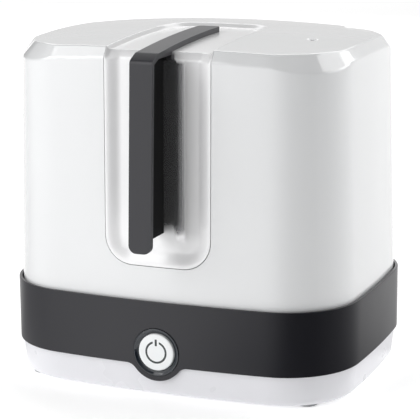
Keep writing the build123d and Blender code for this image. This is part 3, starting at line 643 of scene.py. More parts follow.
    def climb(self, piece: Piece, columns: Columns, levels: np.ndarray, hand: int, ends: tuple) -> None:
        """Sheets of the wall, of the bevel and of the top as far as given ends.

        Args:
            piece: The shell.
            columns: Columns that they follow.
            levels: Level rows of the wall.
            hand: 1, or -1 to mirror them to the left.
            ends: x and y of the columns' ends on the top.
        """
        z = self.form.wall_levels(columns, levels, self.upper)
        for inset, level in ((self.form.wall_inset(z), z), self.form.bevel(columns)):
            x, y = columns.place(inset)
            piece.add(hand * x, y, level)
        x, y = (near[-1] + (end - near[-1]) * self.runs[:, None] for near, end in zip((x, y), ends))
        piece.add(hand * x, y, self.form.crown(x, y))

    def add_plate(self, piece: Piece) -> None:
        """Rectangle in the middle of the top, less the panel's window and the vent's block.

        Args:
            piece: The shell.
        """
        lines_x = np.concatenate([-self.outer_x[:0:-1], mirrored(self.back_x), self.outer_x[1:]])
        x, y = np.meshgrid(lines_x, self.lines_y)
        mid_x = (x[:-1, :-1] + x[1:, 1:]) / 2
        mid_y = (y[:-1, :-1] + y[1:, 1:]) / 2
        window = (np.abs(mid_x) < self.half) & (mid_y < -self.top_base)
        vx, vy = self.vent
        block = (np.abs(mid_x - vx) < self.vent_block) & (np.abs(mid_y - vy) < self.vent_block)
        piece.add(x, y, self.form.crown(x, y), keep=~(window | block))

    def add_vent(self, piece: Piece) -> None:
        """Steam vent: rays from the hole through its dimple to the block's square edge.

        Args:
            piece: The shell.
        """
        vx, vy = self.vent
        side = np.linspace(-1, 1, 9)
        square = np.concatenate([
            pairs(side[:-1], -1), pairs(1, side[:-1]), pairs(side[:0:-1], 1), pairs(-1, side[:0:-1]),
        ]).T * self.vent_block
        unit = square / np.hypot(*square)
        radii = np.array(self.vent_rows) * self.vent_radius
        rows = np.concatenate([radii[:, None, None] * unit, [(unit * radii[-1] + square) / 2], [square]])
        r = np.hypot(rows[:, 0], rows[:, 1])
        x, y = vx + rows[:, 0], vy + rows[:, 1]
        dimple = self.dimple_depth * (1 - smooth((r - radii[1]) / (self.dimple_radius - radii[1])))
        piece.add(x, y, self.form.crown(x, y) - dimple, closed=True)

    def add_collar(self, piece: Piece, hand: int) -> None:
        """Sheets between the seam and the square boundary outside it, on one side.

        Args:
            piece: The shell.
            hand: 1 for the right side and -1 for the left.
        """
        across = self.shell_across
        u, v = self.front.lattice(0.0, self.half, self.front_base, self.front_x, self.levels, across)
        piece.add(hand * u, -PLAN.strip_y(u, self.form.wall_inset(v)), v)
        columns = Columns.at_x(self.front.side + (self.half - self.front.side) * across, -1)
        self.climb(piece, columns, self.levels[-1:], hand, (columns.x, -self.plate_y))
        v_lines = -self.lines_y[self.lines_y <= -self.top_base + NEAR][::-1]
        u, v = self.top.lattice(0.0, self.half, self.top_base, self.back_x, v_lines, across)
        piece.add(hand * u, -v, self.form.crown(u, -v))

    def panel(self) -> Piece:
        """Dished panel: the hood's form near the seam, eased down to the dish's form inside it.

        Returns:
            The piece, not yet built.
        """
        # The dish's finish paints light and shade into its colour: a lighter white than the hood's, darkened on its
        # floor, slopes and top leg
        piece = Piece("handle_panel_skin", Slot.HOOD, "lid", ("handle_panel",), finish="dish_painted_light_and_shade",
                      wall=self.panel_wall, edge=0.3)
        across = self.panel_across
        front = self.front.lattice(-self.gap, self.core, self.core_levels[0], self.core_x, self.core_levels, across)
        top = self.top.lattice(-self.top_gap, self.core, self.core_v[0], self.core_x, self.core_v, across)
        for hand in (1, -1):
            self.add_front(piece, hand * front[0], front[1])
            self.add_bend(piece, hand * self.leg_x(self.front, self.gap), hand * self.leg_x(self.top, self.top_gap))
            self.add_top(piece, hand * top[0], top[1])
        middle = mirrored(self.core_x)
        self.add_front(piece, *np.meshgrid(middle, self.core_levels))
        self.add_bend(piece, middle, middle)
        self.add_top(piece, *np.meshgrid(middle, self.core_v))
        return piece

    def leg_x(self, seam: Seam, gap: float) -> np.ndarray:
        """x of the panel's columns on one side of a leg, from its edge to the core."""
        return self.core + (seam.side - gap - self.core) * (1 - self.panel_across)

    def front_share(self, u: np.ndarray, v: np.ndarray) -> np.ndarray:
        """How far the front leg has sunk into the dish, eased over its sloped wall."""
        return smooth((self.front.depth(u, v) - self.front_land) / self.front_slope)

    def top_share(self, u: np.ndarray, v: np.ndarray) -> np.ndarray:
        """How far the top leg has sunk: steep along the sides, a wide slope at the far end."""
        width = self.top_slope + self.end_slope * smooth((self.end_start - v) / self.end_run)
        return smooth((self.top.depth(u, v) - self.top_land) / width)

    def add_front(self, piece: Piece, u: np.ndarray, v: np.ndarray) -> None:
        """A sheet on the panel's front leg.

        Args:
            piece: The panel.
            u: x of its points.
            v: Their heights.
        """
        share = self.front_share(u, v)
        high = -PLAN.strip_y(u, self.form.wall_inset(v))
        low = -PLAN.strip_y(u, self.dish.wall_inset(v))
        piece.add(u, high + (low - high) * share, v)

    def add_top(self, piece: Piece, u: np.ndarray, v: np.ndarray) -> None:
        """A sheet on the panel's top leg.

        Args:
            piece: The panel.
            u: x of its points.
            v: Their distances forwards from the middle.
        """
        share = self.top_share(u, v)
        high = self.form.crown(u, -v)
        low = self.dish.crown(u, -v)
        piece.add(u, -v, high + (low - high) * share)

    def add_bend(self, piece: Piece, low_x: np.ndarray, high_x: np.ndarray) -> None:
        """Sheets that carry the panel's columns from the front over the bevel onto the top.

        Args:
            piece: The panel.
            low_x: x of the columns on the front wall.
            high_x: x of the same columns on the top.
        """
        rows = []
        for form in (self.form, self.dish):
            columns = Columns.at_x(low_x, -1)
            z = form.wall_levels(columns, self.core_levels[-1:], self.upper)
            inset, rise = form.bevel(columns)
            bend = np.concatenate([z, rise[1:]])
            insets = np.concatenate([form.wall_inset(z), inset[1:]])
            turn = np.clip((np.arange(bend.shape[0]) - len(self.upper)) / (inset.shape[0] - 1), 0, 1)
            x = low_x + (high_x - low_x) * turn[:, None]
            y = -PLAN.strip_y(x, insets)
            end = y[-1]
            run_y = end + (-self.plate_y - end) * self.runs[1:, None]
            run_x = np.broadcast_to(high_x, run_y.shape)
            rows.append((
                np.concatenate([x, run_x]),
                np.concatenate([y, run_y]),
                np.concatenate([bend, form.crown(run_x, run_y)]),
            ))
        total = rows[0][0].shape[0]
        turn = np.clip((np.arange(total) - len(self.upper)) / (2 * self.form.soft_steps - 1), 0, 1)[:, None]
        front = self.front_share(low_x, np.full_like(low_x, self.core_levels[-1]))
        top = self.top_share(high_x, np.full_like(high_x, self.plate_y))
        share = front + (top - front) * turn
        piece.add(*(a + (b - a) * share for a, b in zip(*rows)))

    def build(self) -> None:
        """Makes the shell and the panel."""
        self.shell().build()
        self.panel().build()


@dataclass
class Handle:
    """Dark grip: one plate up the front and over the top, and the web that holds it off the dish.

    Its side view is worked out in (y, z). The front face leans back up to a bevel, whose lower corner
    is rounded, and the bevel meets the top at the shoulder.
    """

    dish: HoodForm
    half: float = 9.7            # half of the plate's width
    wall: float = 4.2
    front: float = -145.5        # lower end of the front face
    lean: float = 0.05416        # its slope backwards
    bottom: float = 128.0
    rise: float = 0.9            # top's height above the hood's crown
    end: float = 4.0             # y of the far end
    bevel_back: float = 19.0     # shoulder's distance behind the front face's lower end
    bevel_drop: float = 5.0
    bevel_round: float = 4.0
    bend_drop: float = 0.6       # inner bend below the outer corner, in walls
    knee_step: tuple = (0.4, -1.0)       # inner knee from the shoulder, in walls
    bend_share: float = 0.35     # how far up the inner bend's slope the rounded corner reaches
    bottom_corner: float = 6.5
    end_corner: float = 4.0
    row_gap: float = 4.0         # first row of the top behind the shoulder
    seat_gap: float = 2.0        # first row of the seat behind the dish's edge
    seat_run: float = 6.0        # length over which the underside comes down onto the dish
    web_half: float = 4.1
    web_bottom: float = 136.7
    overlap: float = 0.3         # web's reach into the dish, and half of its reach into the plate

    def __post_init__(self) -> None:
        """Works out the side view's corners, outside and inside."""
        shoulder_y = self.front + self.bevel_back
        self.shoulder = np.array([shoulder_y, self.top_level(shoulder_y)])
        corner_z = self.shoulder[1] - self.bevel_drop
        bend_z = corner_z - self.bend_drop * self.wall
        self.corner = np.array([self.front_y(corner_z), corner_z])
        self.bend = np.array([self.front_y(bend_z) + self.wall, bend_z])
        self.knee = self.shoulder + np.array(self.knee_step) * self.wall

    def front_y(self, z: np.ndarray) -> np.ndarray:
        """y of the front face: its lower end's, plus the lean times the height above that."""
        return self.front + self.lean * (z - self.bottom)

    def top_level(self, y: np.ndarray) -> np.ndarray:
        """Height of the grip's top, which follows the hood's crown on the middle line."""
        return HoodForm().crown(0.0, y) + self.rise

    def rounded(self) -> np.ndarray:
        """The bevel's lower corner, rounded between the points where an arc of its radius would end.

        Returns:
            Points (y, z) upwards.
        """
        rising = np.array([self.lean, 1.0]) / math.hypot(self.lean, 1.0)
        sloping = self.shoulder - self.corner
        sloping = sloping / np.linalg.norm(sloping)
        cut = self.bevel_round * math.tan(math.acos(rising @ sloping) / 2)
        t = np.linspace(0, 1, 8)[:, None]
        return rounded_corner(t, self.corner - cut * rising, self.corner, self.corner + cut * sloping)

    def line(self) -> tuple[np.ndarray, np.ndarray, np.ndarray]:
        """Outer and inner lines of the plate's side view, and its half width along them.

        Returns:
            Outer points and inner points as (y, z) rows, and the half width of each.
        """
        turn = np.radians(np.linspace(0, 90, 9))
        low = self.bottom + self.bottom_corner * (1 - np.cos(turn))
        low_half = self.half - self.bottom_corner * (1 - np.sin(turn))
        arc = self.rounded()
        z = np.concatenate([low, np.linspace(low[-1], arc[0, 1], 14)[1:-1]])
        z_in = np.minimum(z, self.bend[1])
        meet = float(self.dish_y(self.knee[1]))
        y = np.concatenate([[self.shoulder[0]], np.linspace(self.shoulder[0] + self.row_gap, meet, 7)])
        y_in = np.concatenate([[self.knee[0]], y[1:]])
        far = self.end - self.end_corner + self.end_corner * np.sin(turn)
        seat_y = np.concatenate([np.linspace(meet + self.seat_gap, far[0], 22)[:-1], far])
        floor = self.dish.crown(0.0, np.maximum(seat_y, meet + self.seat_run))
        seat = self.knee[1] + (floor - self.knee[1]) * np.minimum((seat_y - meet) / self.seat_run, 1.0)
        slope = np.linspace(0, self.bend_share, len(arc))[:, None]
        outer = [
            pairs(self.front_y(z), z), arc, pairs(y, self.top_level(y)), pairs(seat_y, self.top_level(seat_y)),
        ]
        inner = [
            pairs(self.front_y(z_in) + self.wall, z_in), self.bend + (self.knee - self.bend) * slope,
            pairs(y_in, self.knee[1]), pairs(seat_y, seat),
        ]
        half = np.full(sum(map(len, outer)), self.half)
        half[: low.size] = low_half
        half[-far.size :] = self.half - self.end_corner * (1 - np.cos(turn))
        return np.concatenate(outer), np.concatenate(inner), half

    def dish_y(self, level: np.ndarray | float) -> np.ndarray:
        """Middle line of the dish: its wall up to the bevel, and the bevel's section above.

        Args:
            level: Height.
        Returns:
            y of the dish there.
        """
        inset, rise = self.dish.bevel(Columns.at_x(np.zeros(1), -1))
        bevel = np.interp(level, rise[:, 0], inset[:, 0])
        return -PLAN.strip_y(0.0, np.where(level < rise[0, 0], self.dish.wall_inset(level), bevel))

    def plate(self) -> Piece:
        """Plate: its outer and inner face, its two sides and its two ends.

        Returns:
            The piece, not yet built.
        """
        outer, inner, half = self.line()
        piece = Piece("handle_plate", Slot.HANDLE, "lid", ("handle_grip",), edge=0.7, edge_steps=3, crease_angle=30)
        x = half[:, None] * np.linspace(-1, 1, 5)
        for line in (outer, inner):
            piece.add(x, line[:, :1], line[:, 1:])
        y, z = pairs(outer[:, 0], inner[:, 0]), pairs(outer[:, 1], inner[:, 1])
        for hand in (-1, 1):
            piece.add(hand * half[:, None], y, z)
        for k in (0, -1):
            piece.add(x[k], y[k][:, None], z[k][:, None])
        return piece

    def web(self) -> Piece:
        """Web between the plate and the dish, from its lower end up into the bend.

        Returns:
            The piece, not yet built.
        """
        # The web takes the grip's charcoal painted nearly black, as painted shade under the plate
        piece = Piece("handle_web", Slot.HANDLE, "lid", ("handle_grip",), finish="web_painted_shade", edge=0.4,
                      crease_angle=30)
        z = np.linspace(self.web_bottom, self.knee[1] + self.overlap, 40)
        foot = self.front_y(self.bottom) + self.wall
        front = np.interp(z, [self.bottom, self.bend[1], self.knee[1]], [foot, self.bend[0], self.knee[0]])
        front = front - 2 * self.overlap
        back = self.dish_y(z) + self.overlap
        loop_x = np.array([-1, 1, 1, -1, -1]) * self.web_half
        piece.add(loop_x, np.stack([front, front, back, back, front], 1), z[:, None])
        for k in (0, -1):
            piece.add(np.array([-1, 1]) * self.web_half, np.array([[front[k]], [back[k]]]), z[k])
        return piece

    def build(self) -> None:
        """Makes the plate and its web."""
        self.plate().build()
        self.web().build()


@dataclass
class Button:
    """White power button with its laid-in symbol, in a dark dished ring."""

    level: float = 38.7
    face: float = -117.2
    radius: float = 15.5
    depth: float = 9.0
    wall: float = 1.8
    skin: float = 2.5            # face's thickness
    # Face's section: radius, and depth behind its front
    face_section: tuple = ((0, 0.03), (6, 0.03), (11, 0.02), (13.6, 0.0), (14.4, 0.04), (15.0, 0.22),
                           (15.35, 0.55), (15.5, 1.1))
    rim: float = 20.0
    bore: float = 15.9
    sleeve: float = 17.5
    ring_depth: float = 10.0
    seat: float = -114.0
    # Ring's dished front: distance in from its rim, and depth behind the band's front
    ring_section: tuple = ((0, 0.0), (0.1, -0.3), (0.35, -0.46), (0.7, -0.45), (1.05, -0.2), (1.6, 0.35),
                           (2.2, 0.9), (2.9, 1.35), (3.5, 1.62), (3.95, 1.75), (4.1, 1.95))
    steps: int = 96              # faces round the axis

    def lathe(self, name: str, slot: Slot, body: str, node: str, profile: list) -> bpy.types.Object:
        """Turns a section round the button's axis: x = r cos a, z = level + r sin a.

        Args:
            name: Name of the piece.
            slot: Its material slot.
            body: Body it rides on.
            node: CAD node it stands for.
            profile: Points (radius, y) along the section.
        Returns:
            The object.
        """
        r, y = np.array(profile, float).T[..., None]
        angle = np.linspace(0, 2 * math.pi, self.steps, endpoint=False)
        piece = Piece(name, slot, body, (node,), crease_angle=50)
        piece.add(r * np.cos(angle), y, self.level + r * np.sin(angle), closed=True)
        return piece.build()

    def build(self) -> None:
        """Makes the cap and the ring."""
        back, inner = self.face + self.depth, self.radius - self.wall
        face = [(radius, self.face + y) for radius, y in self.face_section]
        face += [(self.radius, back), (inner, back), (inner, self.face + self.skin), (0, self.face + self.skin)]
        self.lathe("button_face", Slot.BUTTON, "button", "button_cap", face)
        end = self.seat + self.ring_depth
        ring = [(self.rim - inwards, -PLAN.half_depth + y) for inwards, y in self.ring_section]
        ring = [(self.rim, self.seat), *ring, (self.bore, end), (self.sleeve, end), (self.sleeve, self.seat)]
        self.lathe("button_ring", Slot.RING, "base", "button_bezel", [*ring, ring[0]])


@dataclass
class Band:
    """Dark collar band with the bulge round the button."""

    low: float = 27.3
    high: float = 81.0
    wall: float = 2.6
    block: float = 36.0          # half of the field round the button
    level: float = 38.7
    hole: float = 20.2
    bulge: float = 24.4
    blend: float = 10.0          # fillet between the bulge and the straight edge
    rows: int = 9
    ray_shares: tuple = (0.0, 0.12, 0.35, 0.6, 0.85, 1.0)  # rows from the hole to the field's edge

    def columns(self) -> Columns:
        """Columns of the band.

        Returns:
            Those from the button's field round the back to the field's other side.
        """
        start = math.acos(self.block / (PLAN.front_bow - PLAN.nominal_inset))
        quarter = PLAN.turns(np.linspace(0, 1, 40), start, 0.0)
        back = PLAN.turns(np.linspace(0, 1, 46), 0.0, math.pi / 2)
        right = np.concatenate([-quarter[1:], back[1:-1]])
        first = Columns.at_x(np.array([self.block]), -1)
        mid = Columns.at_x(np.array([0.0]), 1)
        last = Columns.at_x(np.array([-self.block]), -1)
        return first + Columns.at_turn(right, 1) + mid + Columns.at_turn(right[::-1], -1) + last

    def lower_edge(self) -> np.ndarray:
        """Lower edge in the field: straight, a fillet, the bulge's arc, and the same mirrored.

        Returns:
            Points (x, z) from the right to the left.
        """
        reach = math.sqrt((self.bulge + self.blend) ** 2 - (self.level - self.low + self.blend) ** 2)
        centre = np.array([reach, self.low - self.blend])
        tangent = math.atan2(self.level - centre[1], -centre[0])
        a = np.linspace(math.pi / 2, tangent, 9)
        fillet = centre + self.blend * pairs(np.cos(a), np.sin(a))
        start = math.atan2(fillet[-1, 1] - self.level, fillet[-1, 0])
        b = np.linspace(start, -math.pi / 2, 14)[1:]
        bulge = [0.0, self.level] + self.bulge * pairs(np.cos(b), np.sin(b))
        straight = pairs(np.linspace(self.block, reach, 4)[:-1], self.low)
        right = np.concatenate([straight, fillet, bulge])
        return np.concatenate([right, right[-2::-1] * [-1, 1]])

    def build(self) -> None:
        """Makes the band as one skin with a hole for the ring."""
        piece = Piece("collar_band_skin", Slot.BAND, "base", ("collar_band",), wall=self.wall, edge=0.7, edge_steps=3)
        levels = np.linspace(self.low, self.high, self.rows)
        piece.add(*self.columns().place(0.0 * levels[:, None]), levels[:, None])
        edge = np.concatenate([
            pairs(np.linspace(-self.block, self.block, 21), self.high),
            pairs(self.block, levels[-2:0:-1]),
            self.lower_edge(),
            pairs(-self.block, levels[1:-1]),
        ])
        centre = np.array([0.0, self.level])
        ray = edge - centre
        inner = centre + ray / np.linalg.norm(ray, axis=1)[:, None] * self.hole
        grid = inner + (edge - inner) * np.array(self.ray_shares)[:, None, None]
        x, z = grid[..., 0], grid[..., 1]
        piece.add(x, -PLAN.strip_y(x, 0.0 * x), z, closed=True)
        piece.build()


# Finishes


def linear(colour: str) -> tuple:
    """Turns an sRGB hex colour to linear.

    Args:
        colour: The colour, such as #FFFFFF.
    Returns:
        Linear red, green, blue and alpha.
    """
    parts = np.array([int(colour[i : i + 2], 16) for i in (1, 3, 5)]) / 255
    low = parts / 12.92
    high = ((parts + 0.055) / 1.055) ** 2.4
    return (*np.where(parts <= 0.04045, low, high).tolist(), 1.0)


def texture_scale(size: float) -> float:
    """Scale at which one unit of a texture is as many millimetres long."""
    return 1 / (size * MM)


def add_node(tree: Tree, kind: str, links: dict | None = None, **settings: object) -> bpy.types.Node:
    """Adds a node with its settings and links.

    Args:
        tree: Tree that takes the node.
        kind: Name of the shader node's type, without its usual beginning.
        links: Input name or index to an output socket or a fixed value.
        settings: Attributes of the node.
    Returns:
        The node.
    """
    node = tree.nodes.new("ShaderNode" + kind)
    for name, value in settings.items():
        setattr(node, name, value)
    for name, value in (links or {}).items():
        socket = node.inputs[name]
        if isinstance(value, Socket):
            tree.links.new(value, socket)
        else:
            socket.default_value = value
    return node


def fill_ramp(ramp: bpy.types.Node, stops: list) -> None:
    """Puts grey stops into a colour ramp.

    Args:
        ramp: The ramp's node.
        stops: Position and value of each stop, from 0 to 1.
    """
    elements = ramp.color_ramp.elements
    while len(elements) < len(stops):
        elements.new(0.5)
    for element, (position, value) in zip(elements, stops):
        element.position = position
        element.color = (value, value, value, 1.0)


@dataclass(frozen=True)
class Finish:
    """A procedural finish, named for what the real one is. Lengths are in millimetres on the surface."""

    name: str
    colour: str
    roughness: float
    made: Texture = Texture.MOULDED
    metallic: float = 0.0
    ior: float = 1.5
    coat: float = 0.0            # share of the skin that reflects like a polished one
    coat_roughness: float = 0.03
    coat_ior: float = 1.5
    grain: float = 0.8           # spacing of the surface's grain
    relief: float = 0.004        # its height
    cloud: float = 60.0          # size of the patches of slightly different tone
    tone: float = 0.02           # how much they differ
    gloss_spread: float = 0.03   # how much the roughness varies
    second: str = ""             # second colour of a woven or printed pattern
    specular: float = 0.5        # strength of its plain reflection, 0.5 for a smooth skin
    least_roughness: float = 0.02
    brushed_length: float = 0.03         # grain's spacing across as a part of its length, when brushed
    weave_unit: float = 3.2      # wave texture's unit in threads, whose bands stand about a thread apart
    trace_unit: float = 4.0      # brick texture's unit in tracks

    def material(self) -> bpy.types.Material:
        """Builds the material, or finds it if it's already there.

        Returns:
            The material.
        """
        found = bpy.data.materials.get(self.name)
        if found:
            return found
        made = bpy.data.materials.new(self.name)
        made.use_nodes = True
        tree = made.node_tree
        tree.nodes.clear()
        place = add_node(tree, "TexCoord").outputs["Object"]
        cloud = add_node(tree, "TexNoise", {
            "Vector": place, "Scale": texture_scale(self.cloud), "Detail": 3.0,
        }).outputs[0]
        pattern = self.pattern(tree, place)
        base = linear(self.colour)
        shade = (*(c * (1 - self.tone) for c in base[:3]), 1.0)
        colour = add_node(tree, "Mix", {
            "Factor": cloud, MIX_A: base, MIX_B: shade,
        }, data_type="RGBA").outputs[MIXED]
        if self.second:
            colour = add_node(tree, "Mix", {
                "Factor": pattern, MIX_A: colour, MIX_B: linear(self.second),
            }, data_type="RGBA").outputs[MIXED]
        rough = add_node(tree, "MapRange", {
            "Value": cloud, "To Min": max(self.roughness - self.gloss_spread, self.least_roughness),
            "To Max": self.roughness + self.gloss_spread,
        })
        bump = add_node(tree, "Bump", {"Height": pattern, "Distance": self.relief * MM, "Strength": 1.0})
        shader = add_node(tree, "BsdfPrincipled", {
            "Base Color": self.with_painted_shade(tree, place, colour), "Roughness": rough.outputs[0],
            "Metallic": self.metal(tree, place), "IOR": self.ior, "Specular IOR Level": self.specular,
            "Coat Weight": self.coat, "Coat Roughness": self.coat_roughness, "Coat IOR": self.coat_ior,
            "Normal": bump.outputs[0],
        })
        add_node(tree, "OutputMaterial", {"Surface": shader.outputs[0]})
        return made

    def metal(self, tree: Tree, place: Socket) -> float | Socket:
        """How much of the light the surface mirrors: the same all over."""
        return self.metallic

    def with_painted_shade(self, tree: Tree, place: Socket, colour: Socket) -> Socket:
        """The colour as it varies over the piece, with any painted shade: none here, the same all over."""
        return colour

    def pattern(self, tree: Tree, place: Socket) -> Socket:
        """Nodes of the fine pattern.

        Args:
            tree: The material's tree.
            place: Object coordinates.
        Returns:
            Socket for the bump's height and the second colour's share.
        """
        if self.made is Texture.WOVEN:
            return add_node(tree, "TexWave", {
                "Vector": place, "Scale": texture_scale(self.grain * self.weave_unit), "Distortion": 0.4,
            }, bands_direction="DIAGONAL").outputs[1]
        if self.made is Texture.TRACES:
            return add_node(tree, "TexBrick", {
                "Vector": place, "Scale": texture_scale(self.grain * self.trace_unit), "Mortar Size": 0.03,
            }).outputs[1]
        if self.made is Texture.BRUSHED:
            # Brushing draws the grain out along X
            place = add_node(tree, "Mapping", {
                "Vector": place, "Scale": (self.brushed_length, 1.0, 1.0),
            }).outputs[0]
        return add_node(tree, "TexNoise", {
            "Vector": place, "Scale": texture_scale(self.grain), "Detail": 2.0,
        }).outputs[0]


@dataclass(frozen=True)
class MirroredDish(Finish):
    """The hood's finish, polished up to a mirror beside the web, where the dish shows the grip's image, with shade
    painted into its colour on the dish's floor and slopes and on its top leg.

    Its tables give a value for each distance to the right of the middle line. Its own lengths are in
    metres.
    """

    mirror_ramp: tuple = (
        (-0.0025, 0.0), (-0.002, 0.96), (0.0162, 0.95), (0.0176, 0.8), (0.0216, 0.74), (0.0228, 0.0), (0.046, 0.0),
    )
    # Painted shade: the colour's brightness at each distance from the middle line
    painted_shade_ramp: tuple = (
        (0.0, 1.0), (0.0216, 1.0), (0.0228, 0.68), (0.0328, 0.82), (0.034, 0.86), (0.039, 0.97), (0.042, 1.0),
    )
    foot: tuple = (0.134, 0.147)         # levels between which mirror and painted shade set in
    mirror_head: float = 0.2795  # level of the mirror's upper end, on the bevel
    painted_shade_head: float = 0.2805    # the same for the painted shade
    fade: float = 0.003          # height over which they end
    step_start: float = 0.0122   # from this distance to the next the ends drop below the bevel
    step_end: float = 0.0155
    step_drop: float = 0.006
    top_painted_shade: float = 0.8        # brightness of the painted shade on the top leg
    top_from: float = 0.006      # that painted shade sets in this far below the end of the dish's painted shade
    top_full: float = 0.002      # and is complete this far above it

    def aside(self, tree: Tree, place: Socket, table: tuple) -> Socket:
        """Value that follows a table over the distance from the middle line.

        Args:
            tree: The material's tree.
            place: Object coordinates.
            table: Rows of distance and value.
        Returns:
            Socket of the value.
        """
        axes = add_node(tree, "SeparateXYZ", {0: place}).outputs
        start, end = table[0][0], table[-1][0]
        share = add_node(tree, "MapRange", {"Value": axes["X"], "From Min": start, "From Max": end})
        ramp = add_node(tree, "ValToRGB", {"Fac": share.outputs[0]})
        fill_ramp(ramp, [((x - start) / (end - start), value) for x, value in table])
        return ramp.outputs[0]

    def with_painted_shade(self, tree: Tree, place: Socket, colour: Socket) -> Socket:
        """The colour with painted shade: darker where the dish's floor and its slopes show less light, and darker on
        the top leg.

        Args:
            tree: The material's tree.
            place: Object coordinates.
            colour: Colour so far.
        Returns:
            Socket of the colour.
        """
        # Painted shade on the dish's floor and slopes, by the distance from the middle line
        shaded = add_node(tree, "Mix", {
            "Factor": 1.0, MIX_A: colour, MIX_B: self.aside(tree, place, self.painted_shade_ramp),
        }, data_type="RGBA", blend_type="MULTIPLY")
        below = add_node(tree, "Mix", {
            "Factor": self.zone(tree, place, self.painted_shade_head), MIX_A: colour, MIX_B: shaded.outputs[MIXED],
        }, data_type="RGBA")
        # Painted shade on the top leg, which darkens it towards its level
        level = add_node(tree, "SeparateXYZ", {0: place}).outputs["Z"]
        tone = add_node(tree, "MapRange", {
            "Value": level, "From Min": self.painted_shade_head - self.top_from, "From Max": self.painted_shade_head + self.top_full,
            "To Min": 1.0, "To Max": self.top_painted_shade,
        })
        return add_node(tree, "Mix", {
            "Factor": 1.0, MIX_A: below.outputs[MIXED], MIX_B: tone.outputs[0],
        }, data_type="RGBA", blend_type="MULTIPLY").outputs[MIXED]

    def zone(self, tree: Tree, place: Socket, head: float) -> Socket:
        """Mask of the dish's front leg, faded at its two ends.

        Args:
            tree: The material's tree.
            place: Object coordinates.
            head: Level of its upper end.
        Returns:
            Socket from 0 to 1.
        """
        axes = add_node(tree, "SeparateXYZ", {0: place}).outputs
        drop = add_node(tree, "MapRange", {
            "Value": axes["X"], "From Min": self.step_start, "From Max": self.step_end,
            "To Min": 0.0, "To Max": self.step_drop,
        })
        level = add_node(tree, "Math", {0: axes["Z"], 1: drop.outputs[0]}, operation="ADD").outputs[0]
        share = 1.0
        for low, high, start, end in ((*self.foot, 0.0, 1.0), (head, head + self.fade, 1.0, 0.0)):
            part = add_node(tree, "MapRange", {
                "Value": level, "From Min": low, "From Max": high, "To Min": start, "To Max": end,
            }, interpolation_type="SMOOTHSTEP")
            share = add_node(tree, "Math", {0: part.outputs[0], 1: share}, operation="MULTIPLY").outputs[0]
        return share

    def metal(self, tree: Tree, place: Socket) -> Socket:
        """How much of the light the dish mirrors: less away from the web and at the two ends."""
        share, zone = self.aside(tree, place, self.mirror_ramp), self.zone(tree, place, self.mirror_head)
        return add_node(tree, "Math", {0: share, 1: zone}, operation="MULTIPLY").outputs[0]


